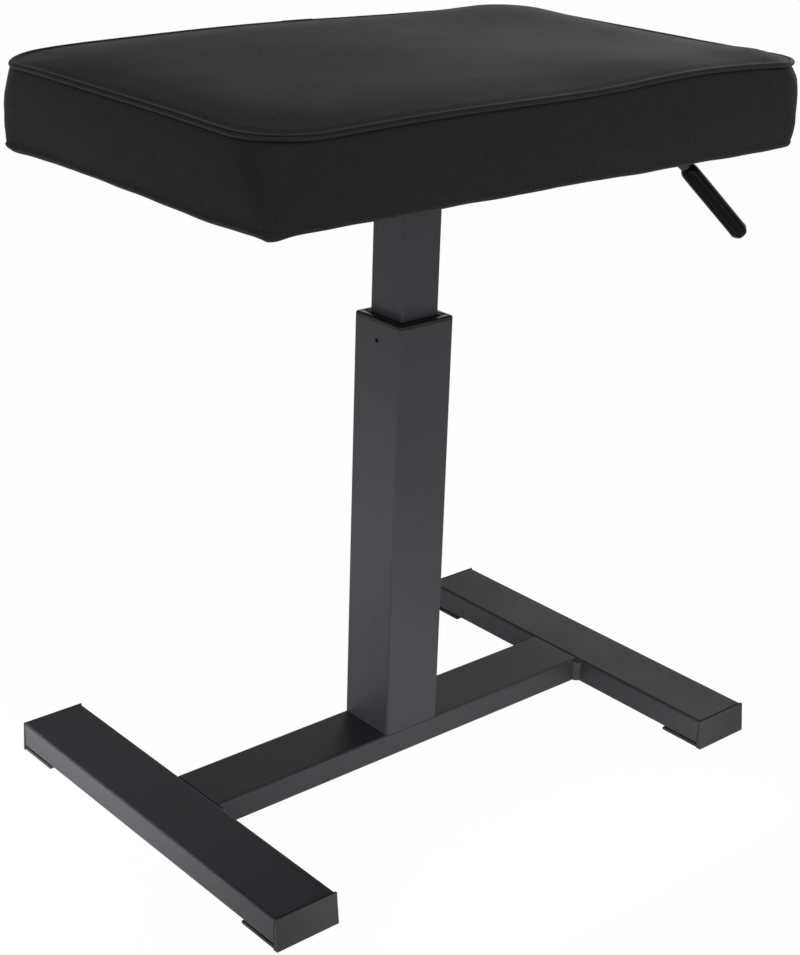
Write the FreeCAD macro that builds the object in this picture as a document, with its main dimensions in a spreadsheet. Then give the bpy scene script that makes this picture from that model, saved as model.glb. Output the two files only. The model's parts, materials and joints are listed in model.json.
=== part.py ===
import FreeCAD, Part
import math
import os

import Sketcher
from FreeCAD import Placement, Rotation, Vector

# Keyboard bench: a padded seat on a telescoping square column over an H-shaped base of tubes.
# Frame: origin on the floor under the column, X along the crossbar and the seat's long side,
# Y from the front to the back, Z up. All sizes are millimetres.

# Driving dimensions. Heights are at the photographed height of the seat.
SIZES = {
    # base tubes
    "foot_length": 312,
    "foot_width": 50,
    "foot_spacing": 412,
    "base_height": 20,
    "base_wall": 1.5,
    "base_bend": 0.8,
    "weld_leg": 5.5,
    "weld_bulge": 0.9,
    "weld_inset": 0.6,
    # foot end caps
    "pad_thickness": 3,
    "pad_length": 38,
    "cap_top": 2,
    "cap_foot": 4.6,
    "cap_plug": 18,
    "cap_plug_wall": 2,
    "cap_plug_chamfer": 0.6,
    "cap_rounding": 0.9,
    "pad_chamfer": 0.7,
    # outer column and its foot
    "column_side": 50,
    "column_wall": 1.5,
    "column_bend": 0.9,
    "column_height": 320,
    "base_plate_thickness": 6,
    "bolt_offset": 15,
    "bolt_thread": 6,
    "bolt_length": 12,
    "bolt_head": 10,
    "bolt_head_height": 4,
    "access_length": 52,
    "access_width": 20,
    "access_corner": 6,
    # guide bushing on the column
    "flange_thickness": 3,
    "flange_chamfer": 1.1,
    "bushing_depth": 40,
    "peg_drop": 13,
    "peg_hole": 3.4,
    "peg_diameter": 2.8,
    # mast that slides in the column
    "mast_side": 34.5,
    "mast_wall": 1.5,
    "mast_bend": 0.6,
    "mast_insert": 150,
    "glide_height": 30,
    "glide_lip": 3,
    "travel_up": 35,
    "travel_down": 85,
    # gas spring
    "cylinder_diameter": 27,
    "cylinder_length": 213,
    "neck_diameter": 14,
    "neck_height": 14,
    "neck_nut_flats": 21,
    "neck_nut_height": 6,
    "hanger_drop": 41,
    "hanger_thickness": 5,
    "rod_diameter": 10,
    "rod_thread": 8,
    "rod_nut_flats": 13,
    "rod_nut_height": 6.5,
    "rod_thread_end": 2,
    "rod_insert": 70,
    "rod_chamfer": 1,
    "valve_pin_diameter": 6,
    "valve_pin_length": 58,
    # seat plate, its welds and screws
    "seat_height": 464,
    "plate_margin": 15,
    "plate_thickness": 3,
    "plate_corner": 12,
    "screw_spacing_long": 130,
    "screw_spacing_deep": 90,
    "screw_thread": 6,
    "screw_length": 16,
    "screw_head": 10,
    "screw_head_height": 3.3,
    "mast_weld_leg": 4,
    # release lever
    "pivot_reach": 34,
    "pivot_drop": 10.6,
    "pivot_diameter": 6,
    "pivot_overhang": 2.4,
    "clip_outer": 11,
    "clip_thickness": 1,
    "bracket_wall": 2.5,
    "bracket_length": 28.5,
    "bracket_drop": 18,
    "notch_clearance": 2,
    "blade_thickness": 5,
    "blade_height": 10,
    "blade_nose": 38,
    "blade_chamfer": 3,
    "blade_tail": 16,
    "blade_lap": 8,
    "lever_diameter": 8,
    "lever_shoulder": 30,
    "lever_reach": 147.3,
    "lever_sink": 2.5,
    "lever_plan_angle": 34,
    "lever_bend_radius": 14,
    "grip_pitch": 46.8,
    "grip_setback": 8.5,
    "grip_length": 68,
    "grip_diameter": 13,
    "grip_socket": 45,
    "grip_shoulder": 3.2,
    "grip_tip": 3,
    # padded seat: the cover's outline at its foot, and what its middle and its seam have over that
    "cushion_height": 58.5,
    "foot_outline_length": 463,
    "foot_outline_depth": 295,
    "foot_outline_corner": 15,
    "belly_more_length": 16,
    "belly_more_depth": 18,
    "belly_more_corner": 23,
    "seam_more_length": 5.5,
    "seam_more_depth": 8,
    "seam_more_corner": 24,
    "crown_height": 9,
    "cover_thickness": 1.2,
    "hem_width": 22,
    "hem_corner": 10,
    "dust_cover_thickness": 0.6,
    "piping_diameter": 4.4,
    "piping_stand": 1.3,
    "board_thickness": 15,
    # clearances
    "slide_gap": 0.3,
    "press_gap": 0.1,
    "shaft_gap": 0.08,
    "hole_gap": 0.3,
    "seam_gap": 0.15,
    "touch_gap": 0.3,
    "board_gap": 0.5,
    "side_gap": 0.5,
    "stop_gap": 1,
    # how far a cutting form reaches past what it cuts
    "cut_margin": 2,
}

# The padded seat's belly is at this share of its height, and its crown draws in by this share
# of its depth. Its side, its crown and its corners are drawn with flat faces in so many steps.
BELLY_SHARE = 0.52
CROWN_DRAW = 0.62
OUTER_STEPS = 6
INNER_STEPS = 4
CORNER_STEPS = 6
PIPING_SIDES = 8

# Heights and widths that several pieces share, worked out from the driving dimensions.
TUBE_TOP = "(sizes.pad_thickness + sizes.base_height)"
COLUMN_TOP = f"({TUBE_TOP} + sizes.column_height)"
COLUMN_BORE = "(sizes.column_side - 2 * sizes.column_wall)"
MAST_BORE = "(sizes.mast_side - 2 * sizes.mast_wall)"
BOARD_FLOOR = "(sizes.seat_height + sizes.cover_thickness)"
PLATE_TOP = f"({BOARD_FLOOR} - sizes.dust_cover_thickness)"
MAST_TOP = f"({PLATE_TOP} - sizes.plate_thickness)"
MAST_FOOT = f"({COLUMN_TOP} - sizes.mast_insert)"
HANGER_FLOOR = f"({MAST_TOP} - sizes.hanger_drop)"
CYLINDER_FOOT = f"({HANGER_FLOOR} - sizes.cylinder_length)"
ROD_TOP = f"({CYLINDER_FOOT} + sizes.rod_insert)"
BASE_PLATE_TOP = f"({TUBE_TOP} + sizes.base_plate_thickness)"
PIVOT_HEIGHT = f"({MAST_TOP} - sizes.pivot_drop)"
CUSHION_TOP = "(sizes.seat_height + sizes.cushion_height)"
SEAM_LENGTH = "(sizes.foot_outline_length + sizes.seam_more_length)"
SEAM_DEPTH = "(sizes.foot_outline_depth + sizes.seam_more_depth)"
SEAM_CORNER = "(sizes.foot_outline_corner + sizes.seam_more_corner)"

doc = FreeCAD.newDocument("keyboard_bench")
sheet = doc.addObject("Spreadsheet::Sheet", "sizes")
for row, (alias, number) in enumerate(SIZES.items(), start=1):
    sheet.set(f"A{row}", alias)
    sheet.set(f"B{row}", str(number))
    sheet.setAlias(f"B{row}", alias)
doc.recompute()

pieces = []


def size(expression):
    """The number that an expression over the sheet's cells gives."""
    return float(sheet.evalExpression(expression))


def keep(shape, label):
    """Label a finished piece and put it on the list of pieces to write."""
    shape.Label = label
    pieces.append(shape)
    return shape


def place(shape, x="0", y="0", z="0"):
    """Tie a piece's position to expressions."""
    shape.setExpression("Placement.Base.x", x)
    shape.setExpression("Placement.Base.y", y)
    shape.setExpression("Placement.Base.z", z)


# Sketches


def addSketch(body, name, role, offset="0"):
    """An empty sketch on one of the body's origin planes, moved along the plane's normal."""
    sketch = body.newObject("Sketcher::SketchObject", name)
    plane = next(item for item in body.Origin.OriginFeatures if item.Role == role)
    sketch.AttachmentSupport = [(plane, "")]
    sketch.MapMode = "FlatFace"
    sketch.setExpression("AttachmentOffset.Base.z", offset)
    return sketch


def bind(sketch, kind, *items, to):
    """Add a constraint whose value follows an expression."""
    index = sketch.addConstraint(Sketcher.Constraint(kind, *items, size(to)))
    sketch.setExpression(f"Constraints[{index}]", to)


def drawRoundedRectangle(sketch, width, depth, corner):
    """A rectangle with round corners about the sketch's origin."""
    halfWidth = size(width) / 2
    halfDepth = size(depth) / 2
    radius = size(corner)
    first = sketch.GeometryCount
    signs = [(1, 1), (-1, 1), (-1, -1), (1, -1)]
    for turn, (signX, signY) in enumerate(signs):
        centre = Vector(signX * (halfWidth - radius), signY * (halfDepth - radius), 0)
        start = turn * math.pi / 2
        circle = Part.Circle(centre, Vector(0, 0, 1), radius)
        sketch.addGeometry(Part.ArcOfCircle(circle, start, start + math.pi / 2), False)
    for turn in range(4):
        startPoint = sketch.Geometry[first + turn].EndPoint
        endPoint = sketch.Geometry[first + (turn + 1) % 4].StartPoint
        sketch.addGeometry(Part.LineSegment(startPoint, endPoint), False)
    for turn in range(4):
        arc = first + turn
        line = first + 4 + turn
        following = first + (turn + 1) % 4
        sketch.addConstraint(Sketcher.Constraint("Tangent", arc, 2, line, 1))
        sketch.addConstraint(Sketcher.Constraint("Tangent", line, 2, following, 1))
        direction = "Horizontal" if turn % 2 == 0 else "Vertical"
        sketch.addConstraint(Sketcher.Constraint(direction, line))
    for turn in range(1, 4):
        sketch.addConstraint(Sketcher.Constraint("Equal", first, first + turn))
    sketch.addConstraint(Sketcher.Constraint("Symmetric", first, 3, first + 2, 3, -1, 1))
    bind(sketch, "Radius", first, to=corner)
    bind(sketch, "DistanceX", first + 5, 1, first + 7, 1, to=width)
    bind(sketch, "DistanceY", first + 6, 1, first + 4, 1, to=depth)


def drawCircle(sketch, diameter, x="0", y="0"):
    """A circle with its centre tied to two expressions."""
    centre = Vector(size(x), size(y), 0)
    circle = Part.Circle(centre, Vector(0, 0, 1), size(diameter) / 2)
    index = sketch.addGeometry(circle, False)
    bind(sketch, "Diameter", index, to=diameter)
    if x == "0" and y == "0":
        sketch.addConstraint(Sketcher.Constraint("Coincident", index, 3, -1, 1))
        return
    bindPoint(sketch, index, 3, x, y)


def bindPoint(sketch, index, point, x, y):
    """Tie a point of the sketch to expressions, on the axis where an expression is zero."""
    if x == "0":
        sketch.addConstraint(Sketcher.Constraint("PointOnObject", index, point, -2))
    else:
        bind(sketch, "DistanceX", -1, 1, index, point, to=x)
    if y == "0":
        sketch.addConstraint(Sketcher.Constraint("PointOnObject", index, point, -1))
    else:
        bind(sketch, "DistanceY", -1, 1, index, point, to=y)


def drawOutline(sketch, corners):
    """A closed outline of straight lines through corners given as pairs of expressions."""
    first = sketch.GeometryCount
    points = [Vector(size(x), size(y), 0) for x, y in corners]
    count = len(points)
    for index in range(count):
        sketch.addGeometry(Part.LineSegment(points[index], points[(index + 1) % count]), False)
    for index in range(count):
        line = first + index
        following = first + (index + 1) % count
        sketch.addConstraint(Sketcher.Constraint("Coincident", line, 2, following, 1))
    for index, (x, y) in enumerate(corners):
        bindPoint(sketch, first + index, 1, x, y)


def drawChamferedRectangle(sketch, halfWidth, halfHeight, chamfer):
    """A rectangle with cut corners about the sketch's origin."""
    nearX = f"({halfWidth} - {chamfer})"
    nearY = f"({halfHeight} - {chamfer})"
    drawOutline(sketch, [
        (halfWidth, nearY),
        (nearX, halfHeight),
        (f"-{nearX}", halfHeight),
        (f"-{halfWidth}", nearY),
        (f"-{halfWidth}", f"-{nearY}"),
        (f"-{nearX}", f"-{halfHeight}"),
        (nearX, f"-{halfHeight}"),
        (halfWidth, f"-{nearY}"),
    ])


# Features


def addPad(body, name, sketch, length, kind="One side", reverse=False):
    """A pad of the sketch."""
    pad = body.newObject("PartDesign::Pad", name)
    pad.Profile = sketch
    pad.SideType = kind
    pad.Reversed = reverse
    pad.setExpression("Length", length)
    return pad


def addPocket(body, name, sketch, length, kind="One side", reverse=False):
    """A pocket of the sketch, checked to have taken material away."""
    doc.recompute()
    before = body.Shape.Volume
    pocket = body.newObject("PartDesign::Pocket", name)
    pocket.Profile = sketch
    pocket.SideType = kind
    pocket.Reversed = reverse
    pocket.setExpression("Length", length)
    doc.recompute()
    if body.Shape.Volume >= before:
        raise RuntimeError(f"{name} cuts nothing")
    return pocket


def addRevolution(body, name, corners):
    """A full turn of an outline of radius and height about Z."""
    sketch = addSketch(body, f"{name}_profile", "XZ_Plane")
    drawOutline(sketch, corners)
    revolution = body.newObject("PartDesign::Revolution", name)
    revolution.Profile = sketch
    revolution.ReferenceAxis = (sketch, ["V_Axis"])
    revolution.Angle = 360
    return revolution


def addDressUp(body, kind, name, base, amount, wanted):
    """A fillet or chamfer on the edges of the base feature that the test picks."""
    doc.recompute()
    names = []
    for index, edge in enumerate(base.Shape.Edges, start=1):
        if wanted(edge):
            names.append(f"Edge{index}")
    dressing = body.newObject(f"PartDesign::{kind}", name)
    dressing.Base = (base, names)
    dressing.setExpression("Radius" if kind == "Fillet" else "Size", amount)
    return dressing


def steppedRectangle(length, depth, corner, height):
    """Points round a level rectangle whose round corners are drawn in steps."""
    points = []
    for turn, (signX, signY) in enumerate([(1, 1), (-1, 1), (-1, -1), (1, -1)]):
        for step in range(CORNER_STEPS + 1):
            angle = (turn + step / CORNER_STEPS) * math.pi / 2
            x = signX * (length / 2 - corner * (1 - abs(math.cos(angle))))
            y = signY * (depth / 2 - corner * (1 - abs(math.sin(angle))))
            points.append(Vector(x, y, height))
    return points


def addFacetedForm(name, outlines):
    """A solid of flat faces through stepped rectangles: length, depth, corner and height each."""
    rings = [steppedRectangle(*(size(value) for value in outline)) for outline in outlines]
    outlines = [rings[0], rings[-1]]
    for low, high in zip(rings, rings[1:]):
        for index in range(len(low)):
            following = (index + 1) % len(low)
            outlines.append([low[index], low[following], high[following], high[index]])
    faces = [Part.Face(Part.makePolygon(outline + outline[:1])) for outline in outlines]
    form = doc.addObject("Part::Feature", name)
    form.Shape = Part.Solid(Part.makeShell(faces))
    form.Placement = Placement()
    return form


def addTube(name, role, width, depth, bend, wall, length, kind):
    """A drawn rectangular tube with round corners, along the normal of its sketch plane."""
    body = doc.addObject("PartDesign::Body", name)
    sketch = addSketch(body, f"{name}_section", role)
    drawRoundedRectangle(sketch, width, depth, f"{bend} + {wall}")
    drawRoundedRectangle(sketch, f"{width} - 2 * {wall}", f"{depth} - 2 * {wall}", bend)
    addPad(body, f"{name}_pad", sketch, length, kind)
    return body


def addGroup(name, solids):
    """Several equal or like solids kept as one piece."""
    group = doc.addObject("Part::Feature", name)
    group.Shape = Part.makeCompound(solids)
    group.Placement = Placement()
    return group


def addCylinder(name, diameter, height, x="0", y="0", z="0", turn=None):
    """A cylinder that stands on its centre point, or lies the way it is turned."""
    cylinder = doc.addObject("Part::Cylinder", name)
    cylinder.setExpression("Radius", f"({diameter}) / 2")
    cylinder.setExpression("Height", height)
    if turn:
        cylinder.Placement = Placement(Vector(), turn)
    place(cylinder, x, y, z)
    return cylinder


def addPrism(name, sides, flats, height, x="0", y="0", z="0", turn=None):
    """A regular prism, given by its width over the flats."""
    prism = doc.addObject("Part::Prism", name)
    prism.Polygon = sides
    prism.setExpression("Circumradius", f"({flats}) / {2 * math.cos(math.pi / sides):.6f}")
    prism.setExpression("Height", height)
    if turn:
        prism.Placement = Placement(Vector(), turn)
    place(prism, x, y, z)
    return prism


def cut(name, base, tool):
    """One object less another."""
    result = doc.addObject("Part::Cut", name)
    result.Base = base
    result.Tool = tool
    return result


def fuse(name, items):
    """Several touching objects as one."""
    result = doc.addObject("Part::MultiFuse", name)
    result.Shapes = items
    result.Refine = True
    return result


def collect(name, items):
    """Several separate objects kept as one piece."""
    result = doc.addObject("Part::Compound", name)
    result.Links = items
    return result


def corners(offsetX, offsetY):
    """The four corners of a rectangle, from half its sides."""
    return [(signX * offsetX, signY * offsetY) for signX in (-1, 1) for signY in (-1, 1)]


# Base frame


def makeFootTubes():
    """Two rectangular tubes along Y that stand on their end caps."""
    for side, sign in (("left", "-"), ("right", "")):
        body = addTube(
            f"{side}_foot_tube", "XZ_Plane", "sizes.foot_width", "sizes.base_height",
            "sizes.base_bend", "sizes.base_wall", "sizes.foot_length", "Symmetric",
        )
        place(
            body,
            x=f"{sign}sizes.foot_spacing / 2",
            z="sizes.pad_thickness + sizes.base_height / 2",
        )
        keep(body, f"{side}_foot_tube")


def makeCrossbar():
    """The tube between the feet, with bolt holes above and an opening below to reach the bolts."""
    body = addTube(
        "crossbar_tube", "YZ_Plane", "sizes.foot_width", "sizes.base_height",
        "sizes.base_bend", "sizes.base_wall", "sizes.foot_spacing - sizes.foot_width",
        "Symmetric",
    )
    clearance = addSketch(body, "clearance_holes", "XY_Plane", "sizes.base_height / 2")
    access = addSketch(body, "access_opening", "XY_Plane", "-sizes.base_height / 2")
    for sign in (-1, 1):
        x = f"{sign} * sizes.bolt_offset"
        drawCircle(clearance, "sizes.bolt_thread + 2 * sizes.hole_gap", x)
    drawCircle(clearance, "sizes.rod_thread + 2 * sizes.hole_gap")
    drawRoundedRectangle(
        access, "sizes.access_length", "sizes.access_width", "sizes.access_corner",
    )
    addPocket(body, "clearance_pocket", clearance, "sizes.base_wall * 1.5")
    addPocket(body, "access_pocket", access, "sizes.base_wall * 1.5", reverse=True)
    place(body, z="sizes.pad_thickness + sizes.base_height / 2")
    keep(body, "crossbar_tube")


def makeFrameWelds():
    """Four upright weld beads where the crossbar meets the feet."""
    leg = size("sizes.weld_leg")
    inset = size("sizes.weld_inset")
    jointX = size("(sizes.foot_spacing - sizes.foot_width) / 2")
    jointY = size("sizes.foot_width / 2")
    foot = size("sizes.pad_thickness") + inset
    height = size("sizes.base_height") - 2 * inset
    beads = []
    for signX, signY in corners(1, 1):
        corner = Vector(signX * jointX, signY * jointY, foot)
        onFoot = corner + Vector(0, signY * leg, 0)
        onBar = corner - Vector(signX * leg, 0, 0)
        outward = Vector(-signX, signY, 0).normalize()
        middle = (onFoot + onBar) / 2 + outward * size("sizes.weld_bulge")
        outline = Part.Wire([
            Part.LineSegment(corner, onBar).toShape(),
            Part.Arc(onBar, middle, onFoot).toShape(),
            Part.LineSegment(onFoot, corner).toShape(),
        ])
        beads.append(Part.Face(outline).extrude(Vector(0, 0, height)))
    keep(addGroup("frame_weld_beads", beads), "frame_weld_beads")


def makeFootCap(label, sideX, sideY):
    """A moulded end cap: flared end face, pad tongue under the tube, hollow plug inside it."""
    body = doc.addObject("PartDesign::Body", label)
    profile = addSketch(body, f"{label}_profile", "YZ_Plane")
    tubeTop = TUBE_TOP
    drawOutline(profile, [
        ("0", tubeTop),
        ("-sizes.cap_top", tubeTop),
        ("-sizes.cap_foot", "0"),
        ("sizes.pad_length", "0"),
        ("sizes.pad_length", "sizes.pad_thickness"),
        ("0", "sizes.pad_thickness"),
    ])
    addPad(body, f"{label}_shell", profile, "sizes.foot_width", "Symmetric")
    plug = addSketch(body, f"{label}_plug_section", "XZ_Plane")
    plug.setExpression("AttachmentOffset.Base.y", "sizes.pad_thickness + sizes.base_height / 2")
    for inset in (
        "(sizes.base_wall + sizes.press_gap)",
        "(sizes.base_wall + sizes.press_gap + sizes.cap_plug_wall)",
    ):
        drawChamferedRectangle(
            plug,
            f"(sizes.foot_width / 2 - {inset})",
            f"(sizes.base_height / 2 - {inset})",
            "sizes.cap_plug_chamfer",
        )
    plugPad = addPad(body, f"{label}_plug", plug, "sizes.cap_plug", reverse=True)
    rounding = addDressUp(
        body, "Fillet", f"{label}_rounding", plugPad, "sizes.cap_rounding",
        lambda edge: edge.BoundBox.YMax < -size("sizes.cap_top") / 2,
    )
    padTop = size("sizes.pad_thickness")
    halfWidth = size("sizes.foot_width") / 2
    addDressUp(
        body, "Chamfer", f"{label}_pad_chamfer", rounding, "sizes.pad_chamfer",
        lambda edge: (
            abs(edge.BoundBox.ZMin - padTop) < 0.01
            and abs(edge.BoundBox.ZMax - padTop) < 0.01
            and edge.BoundBox.YMin > -0.01
            and edge.BoundBox.YMax > size("sizes.pad_length") - 0.01
            and abs(abs(edge.CenterOfMass.x) - halfWidth) < 0.01
        ),
    )
    if sideY > 0:
        body.Placement = Placement(Vector(), Rotation(Vector(0, 0, 1), 180))
    place(
        body,
        x=f"{sideX} * sizes.foot_spacing / 2",
        y=f"{sideY} * sizes.foot_length / 2",
    )
    keep(body, label)


def makeFootCaps():
    """One cap in each end of each foot tube."""
    for sideName, sideX in (("left", -1), ("right", 1)):
        for endName, sideY in (("front", -1), ("rear", 1)):
            makeFootCap(f"{endName}_{sideName}_foot_cap", sideX, sideY)


def makeColumnTube():
    """The outer square tube, with a peg hole in the left and the right wall."""
    body = addTube(
        "column_tube", "XY_Plane", "sizes.column_side", "sizes.column_side",
        "sizes.column_bend", "sizes.column_wall", "sizes.column_height", "One side",
    )
    holes = addSketch(body, "peg_holes", "YZ_Plane")
    drawCircle(holes, "sizes.peg_hole", y="sizes.column_height - sizes.peg_drop")
    addPocket(body, "peg_pocket", holes, "2 * sizes.column_side", "Symmetric")
    place(body, z=TUBE_TOP)
    keep(body, "column_tube")


def makeColumnBasePlate():
    """The plate welded into the foot of the column, threaded for the bolts."""
    body = doc.addObject("PartDesign::Body", "column_base_plate")
    outline = addSketch(body, "base_plate_outline", "XY_Plane")
    side = f"{COLUMN_BORE} - 2 * sizes.press_gap"
    drawRoundedRectangle(outline, side, side, "sizes.column_bend")
    addPad(body, "base_plate_pad", outline, "sizes.base_plate_thickness")
    holes = addSketch(body, "base_plate_holes", "XY_Plane", "sizes.base_plate_thickness")
    for sign in (-1, 1):
        x = f"{sign} * sizes.bolt_offset"
        drawCircle(holes, "sizes.bolt_thread + 2 * sizes.press_gap", x)
    drawCircle(holes, "sizes.rod_thread + 2 * sizes.press_gap")
    addPocket(body, "base_plate_pocket", holes, "2 * sizes.base_plate_thickness")
    place(body, z=TUBE_TOP)
    keep(body, "column_base_plate")


def makeColumnFasteners():
    """Two bolts inside the crossbar that hold the column, and the gas rod's nut."""
    ceiling = f"({TUBE_TOP} - sizes.base_wall)"
    bolts = []
    for side, sign in (("left", -1), ("right", 1)):
        x = f"{sign} * sizes.bolt_offset"
        head = addPrism(
            f"{side}_bolt_head", 6, "sizes.bolt_head", "sizes.bolt_head_height",
            x, z=f"{ceiling} - sizes.bolt_head_height",
        )
        shank = addCylinder(
            f"{side}_bolt_shank", "sizes.bolt_thread", "sizes.bolt_length", x, z=ceiling,
        )
        bolts.append(fuse(f"{side}_bolt", [head, shank]))
    keep(collect("column_bolts", bolts), "column_bolts")
    foot = f"{ceiling} - sizes.rod_nut_height"
    blank = addPrism(
        "rod_nut_blank", 6, "sizes.rod_nut_flats", "sizes.rod_nut_height", z=foot,
    )
    thread = addCylinder(
        "rod_nut_thread", "sizes.rod_thread + 2 * sizes.press_gap", "sizes.rod_nut_height",
        z=foot,
    )
    keep(cut("gas_rod_nut", blank, thread), "gas_rod_nut")


def makeBushing():
    """The moulded guide in the column's mouth, with a chamfered flange and two locating pegs."""
    body = doc.addObject("PartDesign::Body", "column_bushing")
    bore = "sizes.mast_side + 2 * sizes.slide_gap"
    boreCorner = "sizes.mast_bend + sizes.mast_wall + sizes.slide_gap"
    flange = addSketch(body, "flange_section", "XY_Plane")
    drawRoundedRectangle(
        flange, "sizes.column_side", "sizes.column_side",
        "sizes.column_bend + sizes.column_wall",
    )
    drawRoundedRectangle(flange, bore, bore, boreCorner)
    flangePad = addPad(body, "flange_pad", flange, "sizes.flange_thickness")
    top = size("sizes.flange_thickness")
    reach = size("sizes.mast_side") / 2 + 2 * size("sizes.slide_gap")
    addDressUp(
        body, "Chamfer", "flange_chamfering", flangePad, "sizes.flange_chamfer",
        lambda edge: (
            edge.BoundBox.ZMin > top - 0.01
            and max(abs(edge.CenterOfMass.x), abs(edge.CenterOfMass.y)) > reach
        ),
    )
    sleeve = addSketch(body, "sleeve_section", "XY_Plane")
    side = f"{COLUMN_BORE} - 2 * sizes.press_gap"
    drawRoundedRectangle(sleeve, side, side, "sizes.column_bend")
    drawRoundedRectangle(sleeve, bore, bore, boreCorner)
    addPad(body, "sleeve_pad", sleeve, "sizes.bushing_depth", reverse=True)
    pegs = addSketch(body, "peg_section", "YZ_Plane")
    drawCircle(pegs, "sizes.peg_diameter", y="-sizes.peg_drop")
    addPad(
        body, "peg_pad", pegs,
        "sizes.column_side - 2 * sizes.hole_gap", "Symmetric",
    )
    clear = addSketch(body, "clear_section", "XY_Plane")
    drawRoundedRectangle(clear, bore, bore, boreCorner)
    addPocket(body, "clear_pocket", clear, "2 * sizes.bushing_depth", "Symmetric")
    place(body, z=COLUMN_TOP)
    keep(body, "column_bushing")


# Gas spring


def makeGasRod():
    """The rod that stands on the base plate, stepped down below for its nut."""
    body = doc.addObject("PartDesign::Body", "gas_rod")
    thread = (
        "-(sizes.base_plate_thickness + sizes.base_wall"
        " + sizes.rod_nut_height + sizes.rod_thread_end)"
    )
    top = f"({ROD_TOP} - {BASE_PLATE_TOP})"
    radius = "sizes.rod_diameter / 2"
    addRevolution(body, "gas_rod_turning", [
        ("0", thread),
        ("sizes.rod_thread / 2", thread),
        ("sizes.rod_thread / 2", "0"),
        (radius, "0"),
        (radius, f"{top} - sizes.rod_chamfer"),
        (f"{radius} - sizes.rod_chamfer", top),
        ("0", top),
    ])
    place(body, z=BASE_PLATE_TOP)
    keep(body, "gas_rod")


def makeGasCylinder():
    """The cylinder that hangs in the mast: rod bore below, threaded neck with pin bore above."""
    body = doc.addObject("PartDesign::Body", "gas_cylinder")
    outer = "sizes.cylinder_diameter / 2"
    rodBore = "(sizes.rod_diameter / 2 + sizes.shaft_gap)"
    rodSpace = "(sizes.rod_insert + sizes.travel_down + sizes.stop_gap)"
    top = "sizes.cylinder_length"
    neckTop = "(sizes.cylinder_length + sizes.neck_height)"
    pinBore = "(sizes.valve_pin_diameter / 2 + sizes.shaft_gap)"
    addRevolution(body, "gas_cylinder_turning", [
        (rodBore, "0"),
        (outer, "0"),
        (outer, top),
        ("sizes.neck_diameter / 2", top),
        ("sizes.neck_diameter / 2", neckTop),
        (pinBore, neckTop),
        (pinBore, rodSpace),
        (rodBore, rodSpace),
    ])
    place(body, z=CYLINDER_FOOT)
    keep(body, "gas_cylinder")


def makeCylinderHanger():
    """The plate welded in the mast that the cylinder's neck passes through, and its nut."""
    body = doc.addObject("PartDesign::Body", "cylinder_hanger_plate")
    outline = addSketch(body, "hanger_outline", "XY_Plane")
    side = f"{MAST_BORE} - 2 * sizes.press_gap"
    drawRoundedRectangle(outline, side, side, "sizes.mast_bend")
    drawCircle(outline, "sizes.neck_diameter + 2 * sizes.press_gap")
    addPad(body, "hanger_pad", outline, "sizes.hanger_thickness")
    place(body, z=HANGER_FLOOR)
    keep(body, "cylinder_hanger_plate")
    foot = f"{HANGER_FLOOR} + sizes.hanger_thickness"
    blank = addPrism(
        "neck_nut_blank", 6, "sizes.neck_nut_flats", "sizes.neck_nut_height", z=foot,
    )
    thread = addCylinder(
        "neck_nut_thread", "sizes.neck_diameter + 2 * sizes.press_gap",
        "sizes.neck_nut_height", z=foot,
    )
    keep(cut("cylinder_neck_nut", blank, thread), "cylinder_neck_nut")


def makeValvePin():
    """The release pin in the cylinder's neck, with its top just under the lever's blade."""
    top = f"{PIVOT_HEIGHT} - sizes.blade_height / 2 - sizes.touch_gap"
    pin = addCylinder(
        "valve_pin", "sizes.valve_pin_diameter", "sizes.valve_pin_length",
        z=f"{top} - sizes.valve_pin_length",
    )
    keep(pin, "valve_pin")


# Mast


def makeMastTube():
    """The inner square tube, notched at the top of its right wall for the lever."""
    body = addTube(
        "mast_tube", "XY_Plane", "sizes.mast_side", "sizes.mast_side",
        "sizes.mast_bend", "sizes.mast_wall", f"{MAST_TOP} - {MAST_FOOT}", "One side",
    )
    notch = addSketch(body, "lever_notch", "YZ_Plane", "sizes.mast_side / 2 + sizes.cut_margin")
    half = "(sizes.blade_thickness / 2 + 3 * sizes.side_gap)"
    top = f"({MAST_TOP} - {MAST_FOOT})"
    notchTop = f"{top} + sizes.cut_margin"
    notchFloor = f"{top} - sizes.bracket_drop - sizes.notch_clearance"
    drawOutline(notch, [
        (f"-{half}", notchTop),
        (f"-{half}", notchFloor),
        (half, notchFloor),
        (half, notchTop),
    ])
    addPocket(body, "lever_notch_pocket", notch, "sizes.mast_wall + 2 * sizes.cut_margin")
    place(body, z=MAST_FOOT)
    keep(body, "mast_tube")


def makeMastGlide():
    """The moulded glide on the foot of the mast, with a lip under the tube's end."""
    body = doc.addObject("PartDesign::Body", "mast_glide")
    outer = f"{COLUMN_BORE} - 2 * sizes.slide_gap"
    mastSide = "sizes.mast_side + 2 * sizes.press_gap"
    mastCorner = "sizes.mast_bend + sizes.mast_wall + sizes.press_gap"
    lip = addSketch(body, "glide_lip_section", "XY_Plane")
    drawRoundedRectangle(lip, outer, outer, "sizes.column_bend")
    drawRoundedRectangle(lip, MAST_BORE, MAST_BORE, "sizes.mast_bend")
    addPad(body, "glide_lip_pad", lip, "sizes.glide_lip", reverse=True)
    sleeve = addSketch(body, "glide_sleeve_section", "XY_Plane")
    drawRoundedRectangle(sleeve, outer, outer, "sizes.column_bend")
    drawRoundedRectangle(sleeve, mastSide, mastSide, mastCorner)
    addPad(body, "glide_sleeve_pad", sleeve, "sizes.glide_height")
    place(body, z=MAST_FOOT)
    keep(body, "mast_glide")


# Seat plate and lever bracket


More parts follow.
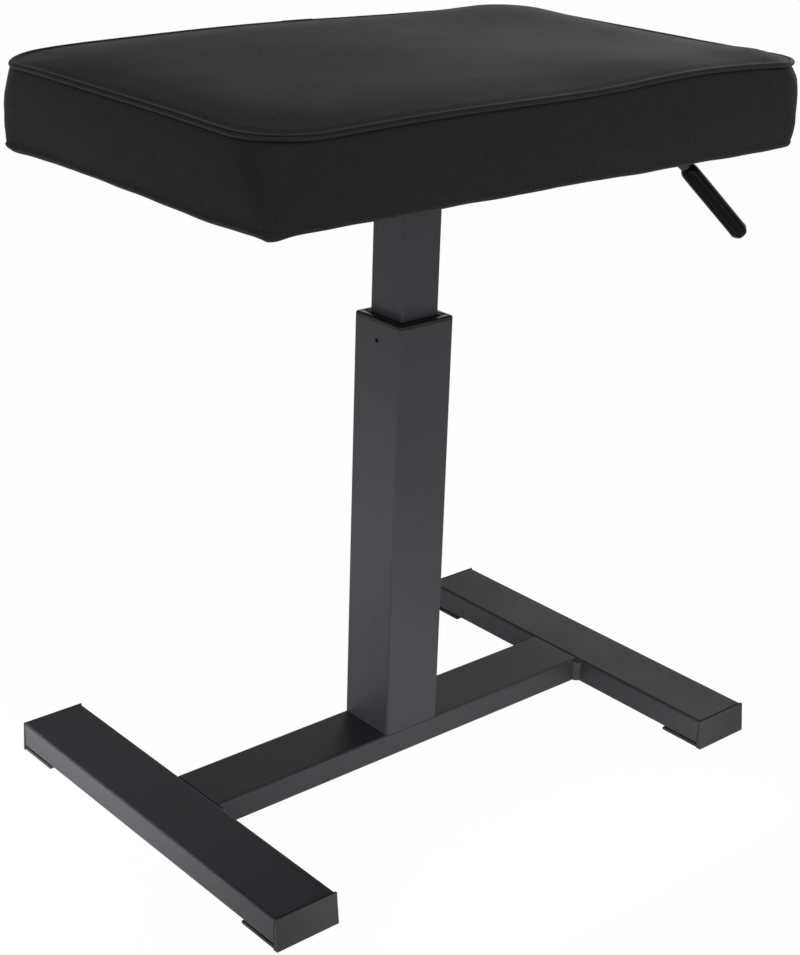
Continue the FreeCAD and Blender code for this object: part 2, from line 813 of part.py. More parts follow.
def makeSeatPlate():
    """The steel plate on the mast's top, with four screw holes."""
    body = doc.addObject("PartDesign::Body", "seat_plate")
    outline = addSketch(body, "seat_plate_outline", "XY_Plane")
    drawRoundedRectangle(
        outline,
        "sizes.screw_spacing_long + 2 * sizes.plate_margin",
        "sizes.screw_spacing_deep + 2 * sizes.plate_margin",
        "sizes.plate_corner",
    )
    addPad(body, "seat_plate_pad", outline, "sizes.plate_thickness")
    holes = addSketch(body, "seat_plate_holes", "XY_Plane", "sizes.plate_thickness")
    for signX, signY in corners(1, 1):
        drawCircle(
            holes,
            "sizes.screw_thread + 2 * sizes.hole_gap",
            f"{signX} * sizes.screw_spacing_long / 2",
            f"{signY} * sizes.screw_spacing_deep / 2",
        )
    addPocket(body, "seat_plate_pocket", holes, "2 * sizes.plate_thickness")
    place(body, z=MAST_TOP)
    keep(body, "seat_plate")


def makeMastWelds():
    """Weld beads between the mast and the plate, on the three walls without the bracket."""
    leg = size("sizes.mast_weld_leg")
    half = size("sizes.mast_side") / 2
    run = size("sizes.mast_side - 2 * (sizes.mast_bend + sizes.mast_wall)")
    top = size(MAST_TOP)
    beads = []
    for angle in (90, 180, 270):
        corner = Vector(half, -run / 2, top)
        outline = Part.Wire([
            Part.LineSegment(corner, corner + Vector(leg, 0, 0)).toShape(),
            Part.Arc(
                corner + Vector(leg, 0, 0),
                corner + Vector(0.62 * leg, 0, -0.62 * leg),
                corner + Vector(0, 0, -leg),
            ).toShape(),
            Part.LineSegment(corner + Vector(0, 0, -leg), corner).toShape(),
        ])
        bead = Part.Face(outline).extrude(Vector(0, run, 0))
        bead.rotate(Vector(0, 0, 0), Vector(0, 0, 1), angle)
        beads.append(bead)
    keep(addGroup("mast_weld_beads", beads), "mast_weld_beads")


def makeLeverBracket():
    """The folded channel under the plate whose cheeks hold the lever's pivot."""
    body = doc.addObject("PartDesign::Body", "lever_bracket")
    gap = "(sizes.blade_thickness / 2 + sizes.side_gap)"
    outer = "(sizes.blade_thickness / 2 + sizes.side_gap + sizes.bracket_wall)"
    section = addSketch(body, "bracket_section", "YZ_Plane")
    drawOutline(section, [
        (f"-{outer}", "0"),
        (f"-{outer}", "-sizes.bracket_drop"),
        (f"-{gap}", "-sizes.bracket_drop"),
        (f"-{gap}", "-sizes.bracket_wall"),
        (gap, "-sizes.bracket_wall"),
        (gap, "-sizes.bracket_drop"),
        (outer, "-sizes.bracket_drop"),
        (outer, "0"),
    ])
    channel = addPad(body, "bracket_channel", section, "sizes.bracket_length")
    addDressUp(
        body, "Fillet", "bracket_folds", channel, "sizes.bracket_wall * 0.9",
        lambda edge: (
            edge.BoundBox.ZMin > -0.01
            and edge.BoundBox.XLength > size("sizes.bracket_length") - 0.01
        ),
    )
    hole = addSketch(body, "bracket_hole", "XZ_Plane")
    drawCircle(
        hole, "sizes.pivot_diameter + 2 * sizes.press_gap",
        "sizes.pivot_reach - sizes.mast_side / 2", "-sizes.pivot_drop",
    )
    addPocket(body, "bracket_hole_pocket", hole, "sizes.mast_side", "Symmetric")
    place(body, x="sizes.mast_side / 2", z=MAST_TOP)
    keep(body, "lever_bracket")


def makePivot():
    """The lever's pivot pin through the bracket and a push-on clip on each end of it."""
    cheek = "(sizes.blade_thickness / 2 + sizes.side_gap + sizes.bracket_wall)"
    alongY = Rotation(Vector(1, 0, 0), -90)
    pin = addCylinder(
        "lever_pivot_pin", "sizes.pivot_diameter", f"2 * ({cheek} + sizes.pivot_overhang)",
        "sizes.pivot_reach", f"-({cheek} + sizes.pivot_overhang)", PIVOT_HEIGHT, alongY,
    )
    keep(pin, "lever_pivot_pin")
    clips = []
    for side, y in (
        ("front", f"-({cheek} + sizes.press_gap + sizes.clip_thickness)"),
        ("rear", f"{cheek} + sizes.press_gap"),
    ):
        disc = addPrism(
            f"{side}_clip_disc", 8, "sizes.clip_outer", "sizes.clip_thickness",
            "sizes.pivot_reach", y, PIVOT_HEIGHT, alongY,
        )
        bore = addCylinder(
            f"{side}_clip_bore", "sizes.pivot_diameter + 2 * sizes.press_gap",
            "sizes.clip_thickness", "sizes.pivot_reach", y, PIVOT_HEIGHT, alongY,
        )
        clips.append(cut(f"{side}_clip", disc, bore))
    keep(collect("pivot_clips", clips), "pivot_clips")


# Release lever


def leverRoute():
    """The lever's bend points: rod's start, shoulder bend, elbow, and the grip's direction."""
    plan = math.radians(size("sizes.lever_plan_angle"))
    pitch = math.radians(size("sizes.grip_pitch"))
    start = Vector(size("sizes.pivot_reach + sizes.blade_tail"), 0, size(PIVOT_HEIGHT))
    shoulder = Vector(size("sizes.pivot_reach + sizes.lever_shoulder"), 0, start.z)
    reach = size("sizes.lever_reach")
    elbow = shoulder + Vector(
        reach * math.cos(plan), -reach * math.sin(plan), -size("sizes.lever_sink"),
    )
    along = Vector(
        math.cos(pitch) * math.cos(plan), -math.cos(pitch) * math.sin(plan), -math.sin(pitch),
    )
    return start, shoulder, elbow, along


def bentWire(points, radius):
    """A wire through the points with a tangent arc of one radius at each inner point."""
    edges = []
    last = points[0]
    for before, corner, after in zip(points, points[1:], points[2:]):
        back = (before - corner).normalize()
        ahead = (after - corner).normalize()
        halfAngle = back.getAngle(ahead) / 2
        tangent = radius / math.tan(halfAngle)
        bisector = (back + ahead).normalize()
        centre = corner + bisector * (radius / math.sin(halfAngle))
        arcStart = corner + back * tangent
        arcEnd = corner + ahead * tangent
        arcMiddle = centre - bisector * radius
        edges.append(Part.LineSegment(last, arcStart).toShape())
        edges.append(Part.Arc(arcStart, arcMiddle, arcEnd).toShape())
        last = arcEnd
    edges.append(Part.LineSegment(last, points[-1]).toShape())
    return Part.Wire(edges)


def makeLeverRod():
    """A bent round rod with a flat blade on its inner end, drilled for the pivot."""
    start, shoulder, elbow, along = leverRoute()
    rodEnd = elbow + along * size("sizes.grip_setback + sizes.grip_socket")
    path = bentWire([start, shoulder, elbow, rodEnd], size("sizes.lever_bend_radius"))
    circle = Part.makeCircle(size("sizes.lever_diameter / 2"), start, Vector(1, 0, 0))
    rod = path.makePipeShell([Part.Wire(circle)], True, True)
    halfThick = size("sizes.blade_thickness / 2")
    halfHigh = size("sizes.blade_height / 2")
    pivot = size("sizes.pivot_reach")
    nose = pivot - size("sizes.blade_nose")
    tail = start.x + size("sizes.blade_lap")
    chamfer = size("sizes.blade_chamfer")
    low = start.z - halfHigh
    high = start.z + halfHigh
    profile = [
        Vector(tail, -halfThick, low),
        Vector(tail, -halfThick, high),
        Vector(nose + chamfer, -halfThick, high),
        Vector(nose, -halfThick, high - chamfer),
        Vector(nose, -halfThick, low + chamfer),
        Vector(nose + chamfer, -halfThick, low),
    ]
    outline = Part.makePolygon(profile + profile[:1])
    blade = Part.Face(outline).extrude(Vector(0, 2 * halfThick, 0))
    bore = Part.makeCylinder(
        size("sizes.pivot_diameter / 2 + sizes.shaft_gap"), 4 * halfThick,
        Vector(pivot, -2 * halfThick, start.z), Vector(0, 1, 0),
    )
    lever = blade.cut(bore).fuse(rod).removeSplitter()
    feature = doc.addObject("Part::Feature", "lever_rod")
    feature.Shape = lever
    feature.Placement = Placement()
    keep(feature, "lever_rod")


def makeLeverGrip():
    """The moulded grip: rounded shoulder, faceted tip and a socket for the rod."""
    body = doc.addObject("PartDesign::Body", "lever_grip")
    radius = "sizes.grip_diameter / 2"
    socket = "(sizes.lever_diameter / 2 + sizes.press_gap)"
    socketFloor = "(sizes.grip_socket + sizes.touch_gap)"
    addRevolution(body, "lever_grip_turning", [
        (socket, "0"),
        (f"{radius} - sizes.grip_shoulder / 4", "0"),
        (radius, "sizes.grip_shoulder"),
        (radius, "sizes.grip_length - sizes.grip_tip"),
        (f"{radius} - sizes.grip_tip * 0.8", "sizes.grip_length"),
        ("0", "sizes.grip_length"),
        ("0", socketFloor),
        (socket, socketFloor),
    ])
    _, _, elbow, along = leverRoute()
    turn = Rotation(Vector(0, 0, 1), along)
    body.Placement = Placement(elbow + along * size("sizes.grip_setback"), turn)
    keep(body, "lever_grip")


# Padded seat


def between(measure, share):
    """A measure of the side band at a share of its height, on a curve through its three outlines."""
    belly = share * (share - 1) / (BELLY_SHARE * (BELLY_SHARE - 1))
    seam = share * (share - BELLY_SHARE) / (1 - BELLY_SHARE)
    return (
        f"(sizes.foot_outline_{measure} + sizes.belly_more_{measure} * {belly:.4f}"
        f" + sizes.seam_more_{measure} * {seam:.4f})"
    )


def seatOutlines(inset, floor, steps):
    """Outlines of the side band from its foot over its belly to the seam, drawn in by an inset."""
    outlines = []
    for step in range(steps + 1):
        share = step / steps
        height = f"(sizes.seat_height + sizes.cushion_height * {share:.4f})"
        outlines.append((
            f"{between('length', share)} - 2 * {inset}",
            f"{between('depth', share)} - 2 * {inset}",
            f"{between('corner', share)} - {inset}",
            floor if step == 0 else height,
        ))
    return outlines


def crownOutlines(inset, drop, steps):
    """Outlines of the top panel from the seam up to the crown, drawn in by an inset."""
    outlines = []
    for step in range(steps + 1):
        share = (step / steps) ** 2
        rise = 1 - (1 - share) ** 4
        height = f"{CUSHION_TOP} + sizes.crown_height * {rise:.4f}"
        if step > 0:
            height = f"{height} - {drop}"
        shrink = f"{SEAM_DEPTH} * {CROWN_DRAW * share:.4f}"
        outlines.append((
            f"{SEAM_LENGTH} - {shrink} - 2 * {inset}",
            f"{SEAM_DEPTH} - {shrink} - 2 * {inset}",
            f"{SEAM_CORNER} - {inset}",
            height,
        ))
    return outlines


def makeSeatCore():
    """The space inside the cover, as a solid that the cover and the foam are cut with."""
    inset = "sizes.cover_thickness"
    sides = seatOutlines(inset, BOARD_FLOOR, INNER_STEPS)
    crown = crownOutlines(inset, inset, INNER_STEPS)
    return addFacetedForm("seat_core", sides + crown[1:])


def makePiping():
    """The welt sewn along the seam, many-sided, and the groove that its neighbours leave for it."""
    rings = []
    flat = math.cos(math.pi / PIPING_SIDES)
    for name, radius in (
        ("seat_piping", "sizes.piping_diameter / 2"),
        ("piping_groove", f"(sizes.piping_diameter / 2 + sizes.seam_gap) / {flat:.5f}"),
    ):
        body = doc.addObject("PartDesign::Body", name)
        path = addSketch(body, f"{name}_path", "XY_Plane", CUSHION_TOP)
        drawRoundedRectangle(
            path,
            f"{SEAM_LENGTH} + 2 * sizes.piping_stand",
            f"{SEAM_DEPTH} + 2 * sizes.piping_stand",
            f"{SEAM_CORNER} + sizes.piping_stand",
        )
        section = addSketch(body, f"{name}_section", "YZ_Plane")
        centre = f"-({SEAM_DEPTH} / 2 + sizes.piping_stand)"
        points = []
        for side in range(PIPING_SIDES):
            angle = 2 * math.pi * side / PIPING_SIDES
            points.append((
                f"{centre} + {radius} * {math.cos(angle):.5f}",
                f"{CUSHION_TOP} + {radius} * {math.sin(angle):.5f}",
            ))
        drawOutline(section, points)
        pipe = body.newObject("PartDesign::AdditivePipe", f"{name}_pipe")
        pipe.Profile = section
        pipe.Spine = (path, [])
        rings.append(body)
    keep(rings[0], "seat_piping")
    return rings[1]


def makeCover(core, groove):
    """The sewn cover: a side band hemmed under the board and a crowned top panel."""
    band = addFacetedForm("band_form", seatOutlines("0", "sizes.seat_height", OUTER_STEPS))
    opening = doc.addObject("PartDesign::Body", "hem_opening")
    outline = addSketch(
        opening, "hem_outline", "XY_Plane", "sizes.seat_height - sizes.cut_margin",
    )
    drawRoundedRectangle(
        outline,
        "sizes.foot_outline_length - 2 * sizes.hem_width",
        "sizes.foot_outline_depth - 2 * sizes.hem_width",
        "sizes.hem_corner",
    )
    addPad(opening, "hem_pad", outline, "sizes.cover_thickness + 2 * sizes.cut_margin")
    hollowBand = cut("hollow_band", band, core)
    hemmedBand = cut("hemmed_band", hollowBand, opening)
    keep(cut("seat_side_band", hemmedBand, groove), "seat_side_band")
    panel = addFacetedForm("panel_form", crownOutlines("0", "0", OUTER_STEPS))
    hollowPanel = cut("hollow_panel", panel, core)
    keep(cut("seat_top_panel", hollowPanel, groove), "seat_top_panel")


def makeFoam(core):
    """The foam: all of the space inside the cover above the board."""
    lower = doc.addObject("Part::Box", "below_foam")
    lower.setExpression("Length", "sizes.foot_outline_length * 2")
    lower.setExpression("Width", "sizes.foot_outline_depth * 2")
    lower.setExpression("Height", "sizes.board_thickness + sizes.cut_margin")
    place(
        lower,
        x="-sizes.foot_outline_length",
        y="-sizes.foot_outline_depth",
        z=f"{BOARD_FLOOR} - sizes.cut_margin",
    )
    keep(cut("seat_foam", core, lower), "seat_foam")


def makeBoard():
    """The plywood board, drilled for the seat screws."""
    body = doc.addObject("PartDesign::Body", "seat_board")
    outline = addSketch(body, "board_outline", "XY_Plane")
    inset = "(sizes.cover_thickness + sizes.board_gap)"
    drawRoundedRectangle(
        outline,
        f"sizes.foot_outline_length - 2 * {inset}",
        f"sizes.foot_outline_depth - 2 * {inset}",
        f"sizes.foot_outline_corner - {inset}",
    )
    addPad(body, "board_pad", outline, "sizes.board_thickness")
    bores = addSketch(body, "screw_bores", "XY_Plane")
    for signX, signY in corners(1, 1):
        drawCircle(
            bores,
            "sizes.screw_thread + 2 * sizes.press_gap",
            f"{signX} * sizes.screw_spacing_long / 2",
            f"{signY} * sizes.screw_spacing_deep / 2",
        )
    addPocket(body, "screw_bore_pocket", bores, "sizes.screw_length", reverse=True)
    place(body, z=BOARD_FLOOR)
    keep(body, "seat_board")


def makeDustCover():
    """The thin cloth under the board, inside the hem, with a window where the screws pass."""
    body = doc.addObject("PartDesign::Body", "dust_cover")
    outline = addSketch(body, "dust_cover_outline", "XY_Plane")
    inset = "(sizes.hem_width + sizes.touch_gap)"
    drawRoundedRectangle(
        outline,
        f"sizes.foot_outline_length - 2 * {inset}",
        f"sizes.foot_outline_depth - 2 * {inset}",
        "sizes.hem_corner",
    )
    drawRoundedRectangle(
        outline,
        "sizes.screw_spacing_long + sizes.screw_head",
        "sizes.screw_spacing_deep + sizes.screw_head",
        "sizes.screw_thread",
    )
    addPad(body, "dust_cover_pad", outline, "sizes.dust_cover_thickness")
    place(body, z=PLATE_TOP)
    keep(body, "dust_cover")


def makeSeatFasteners():
    """The four screws up through the seat plate into the board."""
    screws = []
    for index, (signX, signY) in enumerate(corners(1, 1)):
        x = f"{signX} * sizes.screw_spacing_long / 2"
        y = f"{signY} * sizes.screw_spacing_deep / 2"
        head = addPrism(
            f"screw_head_{index}", 6, "sizes.screw_head", "sizes.screw_head_height",
            x, y, f"{MAST_TOP} - sizes.screw_head_height",
        )
        shank = addCylinder(
            f"screw_shank_{index}", "sizes.screw_thread", "sizes.screw_length", x, y, MAST_TOP,
        )
        screws.append(fuse(f"screw_{index}", [head, shank]))
    keep(collect("seat_screws", screws), "seat_screws")


def checkModel():
    """Stop if any object of the document failed or any piece has no valid shape."""
    for item in doc.Objects:
        if "Invalid" in item.State or "Error" in item.State:
            raise RuntimeError(f"{item.Name} failed: {item.State}")
    for piece in pieces:
        if piece.Shape.isNull() or not piece.Shape.isValid() or not piece.Shape.Solids:
            raise RuntimeError(f"{piece.Label} has no valid solid")


def writePieces():
    """Write each piece to its own file."""
    os.makedirs("parts", exist_ok=True)
    for piece in pieces:
        piece.Shape.exportStep(f"parts/{piece.Label}.step")
        box = piece.Shape.BoundBox
        print(
            f"{piece.Label}: solids {len(piece.Shape.Solids)}, "
            f"x {box.XMin:.1f} to {box.XMax:.1f}, y {box.YMin:.1f} to {box.YMax:.1f}, "
            f"z {box.ZMin:.1f} to {box.ZMax:.1f}, volume {piece.Shape.Volume:.0f}"
        )


makeFootTubes()
makeCrossbar()
makeFrameWelds()
makeFootCaps()
makeColumnTube()
makeColumnBasePlate()
makeColumnFasteners()
makeBushing()
makeGasRod()
makeGasCylinder()
makeCylinderHanger()
makeValvePin()
makeMastTube()
makeMastGlide()
makeSeatPlate()
makeMastWelds()
makeLeverBracket()
makePivot()
makeLeverRod()
makeLeverGrip()
core = makeSeatCore()
groove = makePiping()
makeCover(core, groove)
makeFoam(core)
makeBoard()
makeDustCover()
makeSeatFasteners()
doc.recompute()
checkModel()
writePieces()
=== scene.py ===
import json
import math

import bmesh
import bpy
import numpy as np
from mathutils import Matrix, Vector
from mathutils.kdtree import KDTree


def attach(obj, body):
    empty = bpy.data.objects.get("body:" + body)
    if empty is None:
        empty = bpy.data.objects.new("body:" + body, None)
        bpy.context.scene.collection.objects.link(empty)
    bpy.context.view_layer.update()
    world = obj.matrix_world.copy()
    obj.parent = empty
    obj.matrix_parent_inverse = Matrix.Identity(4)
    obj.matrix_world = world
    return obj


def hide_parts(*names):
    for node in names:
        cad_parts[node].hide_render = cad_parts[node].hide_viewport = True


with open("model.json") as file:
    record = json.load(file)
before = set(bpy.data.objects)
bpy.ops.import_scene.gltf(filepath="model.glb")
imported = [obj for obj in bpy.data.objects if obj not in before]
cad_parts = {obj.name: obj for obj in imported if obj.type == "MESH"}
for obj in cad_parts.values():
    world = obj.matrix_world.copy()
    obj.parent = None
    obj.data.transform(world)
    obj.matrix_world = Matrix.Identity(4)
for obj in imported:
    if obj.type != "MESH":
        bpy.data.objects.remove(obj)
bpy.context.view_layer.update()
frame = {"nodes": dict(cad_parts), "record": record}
nodes = frame["nodes"]
scene = bpy.context.scene
scene.view_settings.view_transform = "Standard"
print("frame loaded:", len(nodes), "nodes")


# camera, solved from the tubes' edges, for an image of 800 x 955
cameraView = {
    "place": (-0.8145, -0.9245, 0.7212),
    "turn": -41.425,  # degrees round the bench, 0 looks along +Y
    "above": 22.139,  # degrees over the horizon
    "roll": 1.95,
    "focalPixels": 1811.976,
    "longSidePixels": 955,
    "sensor": 36,
    "nearClip": 0.05,
}


def makeCamera(view):
    turn, above, roll = (math.radians(view[key]) for key in ("turn", "above", "roll"))
    back = Vector((
        math.sin(turn) * math.cos(above), -math.cos(turn) * math.cos(above), math.sin(above),
    ))
    right = Vector((math.cos(turn), math.sin(turn), 0))
    up = back.cross(right)
    rolledRight = right * math.cos(roll) + up * math.sin(roll)
    rolledUp = up * math.cos(roll) - right * math.sin(roll)
    data = bpy.data.cameras.new("camera")
    data.sensor_width = view["sensor"]
    data.lens = view["focalPixels"] / view["longSidePixels"] * view["sensor"]
    data.clip_start = view["nearClip"]
    camera = bpy.data.objects.new("camera", data)
    scene.collection.objects.link(camera)
    axes = Matrix((rolledRight, rolledUp, back)).transposed()
    camera.matrix_world = Matrix.Translation(view["place"]) @ axes.to_4x4()
    scene.camera = camera


makeCamera(cameraView)
print("camera placed")


# shader node helpers
def put(tree, kind, **settings):
    node = tree.nodes.new(kind)
    for name, value in settings.items():
        setattr(node, name, value)
    return node


def wire(tree, *pairs):
    for source, target in pairs:
        tree.links.new(source, target)


def fill(node, **values):
    for name, value in values.items():
        node.inputs[name.replace("_", " ")].default_value = value
    return node


def mathNode(tree, operation, first, second=0.5):
    node = put(tree, "ShaderNodeMath", operation=operation)
    for slot, value in enumerate((first, second)):
        if isinstance(value, (int, float)):
            node.inputs[slot].default_value = value
        else:
            tree.links.new(value, node.inputs[slot])
    return node.outputs[0]


def mapRange(tree, value, low, high, toLow=0.0, toHigh=1.0):
    node = put(tree, "ShaderNodeMapRange", interpolation_type="SMOOTHSTEP")
    for slot, number in enumerate((low, high, toLow, toHigh), start=1):
        node.inputs[slot].default_value = number
    tree.links.new(value, node.inputs[0])
    return node.outputs[0]


def blendColours(tree, share, first, second):
    node = put(tree, "ShaderNodeMix", data_type="RGBA")
    for slot, value in ((0, share), (6, first), (7, second)):  # the colour sockets of a mix node
        if isinstance(value, tuple):
            node.inputs[slot].default_value = (*value, 1)
        else:
            tree.links.new(value, node.inputs[slot])
    return node.outputs[2]


def newGroup(name, inputs, outputs):
    group = bpy.data.node_groups.new(name, "ShaderNodeTree")
    addSocket = group.interface.new_socket
    for label, value in inputs:
        socket = addSocket(name=label, in_out="INPUT", socket_type="NodeSocketFloat")
        socket.default_value = value
    for label in outputs:
        addSocket(name=label, in_out="OUTPUT", socket_type="NodeSocketFloat")
    return group, put(group, "NodeGroupInput"), put(group, "NodeGroupOutput")


def noiseAt(tree, coordinates, scale, detail=2.0, roughness=0.5):
    node = put(tree, "ShaderNodeTexNoise")
    wire(tree, (coordinates, node.inputs["Vector"]))
    fill(node, Detail=detail, Roughness=roughness)
    if isinstance(scale, (int, float)):
        node.inputs["Scale"].default_value = scale
    else:
        wire(tree, (scale, node.inputs["Scale"]))
    return node.outputs["Fac"]


def objectPlace(tree):
    return put(tree, "ShaderNodeTexCoord").outputs["Object"]


# effects that several materials share
def makeOrangePeel():
    group, start, end = newGroup("orangePeel", [("Scale", 900.0), ("Fine", 0.35)], ["Height"])
    place = objectPlace(group)
    coarse = noiseAt(group, place, start.outputs["Scale"], 1.0)
    fineScale = mathNode(group, "MULTIPLY", start.outputs["Scale"], 2.7)
    fine = noiseAt(group, place, fineScale, 2.0)
    share = mathNode(group, "MULTIPLY", fine, start.outputs["Fine"])
    wire(group, (mathNode(group, "ADD", coarse, share), end.inputs["Height"]))
    return group


def makeEdgeWear():
    group, start, end = newGroup(
        "edgeWear", [("Radius", 0.001), ("Breakup", 160.0), ("Amount", 0.5)], ["Mask"],
    )
    bevel = put(group, "ShaderNodeBevel", samples=4)
    surface = put(group, "ShaderNodeNewGeometry")
    likeness = put(group, "ShaderNodeVectorMath", operation="DOT_PRODUCT")
    wire(
        group,
        (start.outputs["Radius"], bevel.inputs["Radius"]),
        (bevel.outputs["Normal"], likeness.inputs[0]),
        (surface.outputs["Normal"], likeness.inputs[1]),
    )
    edge = mapRange(group, likeness.outputs["Value"], 0.985, 0.86)
    place = objectPlace(group)
    patches = noiseAt(group, place, start.outputs["Breakup"], 4.0, 0.6)
    broken = mathNode(group, "MULTIPLY", edge, mapRange(group, patches, 0.42, 0.68))
    wire(group, (mathNode(group, "MULTIPLY", broken, start.outputs["Amount"]), end.inputs["Mask"]))
    return group


def makeSlowDrift():
    group, start, end = newGroup("slowDrift", [("Scale", 9.0), ("Stretch", 1.0)], ["Value"])
    place = objectPlace(group)
    stretched = put(group, "ShaderNodeVectorMath", operation="MULTIPLY")
    factors = put(group, "ShaderNodeCombineXYZ")
    fill(factors, X=1.0, Y=1.0)
    wire(
        group,
        (start.outputs["Stretch"], factors.inputs["Z"]),
        (place, stretched.inputs[0]),
        (factors.outputs[0], stretched.inputs[1]),
    )
    drift = noiseAt(group, stretched.outputs[0], start.outputs["Scale"], 5.0, 0.62)
    wire(group, (mapRange(group, drift, 0.3, 0.7), end.inputs["Value"]))
    return group


def makeSettledDust():
    group, start, end = newGroup("settledDust", [("Scale", 70.0), ("Amount", 0.3)], ["Mask"])
    normal = put(group, "ShaderNodeSeparateXYZ")
    surface = put(group, "ShaderNodeNewGeometry")
    wire(group, (surface.outputs["Normal"], normal.inputs[0]))
    upward = mapRange(group, normal.outputs["Z"], 0.35, 1.0)
    place = objectPlace(group)
    flecks = mapRange(group, noiseAt(group, place, start.outputs["Scale"], 8.0, 0.75), 0.46, 0.74)
    lying = mathNode(group, "MULTIPLY", upward, flecks)
    wire(group, (mathNode(group, "MULTIPLY", lying, start.outputs["Amount"]), end.inputs["Mask"]))
    return group


def makeVinylGrain():
    group, start, end = newGroup(
        "vinylGrain", [("Scale", 950.0), ("Softness", 0.3)], ["Height", "Crevice"],
    )
    place = objectPlace(group)
    wander = noiseAt(group, place, 260.0, 2.0)
    offset = put(group, "ShaderNodeVectorMath", operation="SCALE")
    shifted = put(group, "ShaderNodeVectorMath", operation="ADD")
    pebbles = put(group, "ShaderNodeTexVoronoi", feature="DISTANCE_TO_EDGE")
    wire(
        group,
        (wander, offset.inputs[0]),
        (place, shifted.inputs[0]),
        (offset.outputs[0], shifted.inputs[1]),
        (shifted.outputs[0], pebbles.inputs["Vector"]),
        (start.outputs["Scale"], pebbles.inputs["Scale"]),
    )
    offset.inputs["Scale"].default_value = 0.0012
    crevice = mapRange(group, pebbles.outputs["Distance"], 0.0, 0.16, 1.0, 0.0)
    pebble = mapRange(group, pebbles.outputs["Distance"], 0.0, 0.3)
    creases = noiseAt(group, place, 420.0, 3.0, 0.55)
    softened = mathNode(group, "MULTIPLY", creases, start.outputs["Softness"])
    wire(
        group,
        (mathNode(group, "ADD", pebble, softened), end.inputs["Height"]),
        (crevice, end.inputs["Crevice"]),
    )
    return group


# painted shade: the colour is darkened by ambient occlusion where two surfaces meet and shade each
# other
def makePaintedCreaseShade():
    group, start, end = newGroup("paintedCreaseShade", [("Radius", 0.01)], ["Mask"])
    openness = put(group, "ShaderNodeAmbientOcclusion", samples=8)
    wire(group, (start.outputs["Radius"], openness.inputs["Distance"]))
    mask = mapRange(group, openness.outputs["AO"], 0.45, 0.95, 0.85, 0.0)
    wire(group, (mask, end.inputs["Mask"]))
    return group


effects = {
    # painted shade in creases
    "creases": makePaintedCreaseShade(),
    "peel": makeOrangePeel(),
    "wear": makeEdgeWear(),
    "drift": makeSlowDrift(),
    "dust": makeSettledDust(),
    "grain": makeVinylGrain(),
}


def useEffect(tree, name, **values):
    node = put(tree, "ShaderNodeGroup")
    node.node_tree = effects[name]
    return fill(node, **values)


def startMaterial(name, shader):
    material = bpy.data.materials.new(name)
    material.use_nodes = True
    tree = material.node_tree
    surface = tree.nodes["Principled BSDF"]
    for label, value in shader.items():
        surface.inputs[label].default_value = value
    return material, tree, surface


# what every finish ends with
def finishSurface(tree, surface, colour, rough, height, strength, distance):
    bump = put(tree, "ShaderNodeBump")
    fill(bump, Strength=strength, Distance=distance)
    wire(
        tree,
        (colour, surface.inputs["Base Color"]),
        (rough, surface.inputs["Roughness"]),
        (height, bump.inputs["Height"]),
        (bump.outputs[0], surface.inputs["Normal"]),
    )


dustRoughness, wearGloss, creviceRoughness = 0.35, 0.12, 0.12  # how far these change the gloss


# paint, plastic or rubber: drifting colour and gloss, fine peel, worn edges and settled dust
def coatedFinish(name, look):
    material, tree, surface = startMaterial(name, look["shader"])
    drift = useEffect(tree, "drift", Scale=look["driftScale"]).outputs["Value"]
    wear = useEffect(
        tree, "wear", Radius=look["wearRadius"], Breakup=look["wearBreakup"], Amount=look["wear"],
    ).outputs["Mask"]
    dust = useEffect(tree, "dust", Scale=look["dustScale"], Amount=look["dust"]).outputs["Mask"]
    peel = useEffect(tree, "peel", Scale=look["peelScale"], Fine=look["peelFine"]).outputs["Height"]
    colour = blendColours(tree, drift, look["dark"], look["light"])
    colour = blendColours(tree, wear, colour, look["worn"])
    colour = blendColours(tree, dust, colour, look["dustColour"])
    gloss = mapRange(tree, drift, 0.0, 1.0, *look["roughness"])
    rough = mathNode(tree, "ADD", gloss, mathNode(tree, "MULTIPLY", dust, dustRoughness))
    rough = mathNode(tree, "SUBTRACT", rough, mathNode(tree, "MULTIPLY", wear, wearGloss))
    finishSurface(tree, surface, colour, rough, peel, look["peelStrength"], look["peelDepth"])
    return material


# bare metal: fine brushing round its own noise, dull spots and brighter edges
def metalFinish(name, look):
    material, tree, surface = startMaterial(name, look["shader"])
    stretch = look["stretch"]
    drift = useEffect(tree, "drift", Scale=look["driftScale"], Stretch=stretch).outputs["Value"]
    fine = useEffect(tree, "drift", Scale=look["fineScale"], Stretch=stretch).outputs["Value"]
    wear = useEffect(tree, "wear", Radius=0.0004, Breakup=300.0, Amount=0.6).outputs["Mask"]
    colour = blendColours(tree, drift, look["dark"], look["light"])
    colour = blendColours(tree, wear, colour, look["worn"])
    rough = mapRange(tree, fine, 0.0, 1.0, *look["roughness"])
    finishSurface(tree, surface, colour, rough, fine, look["bump"], 0.0001)
    return material
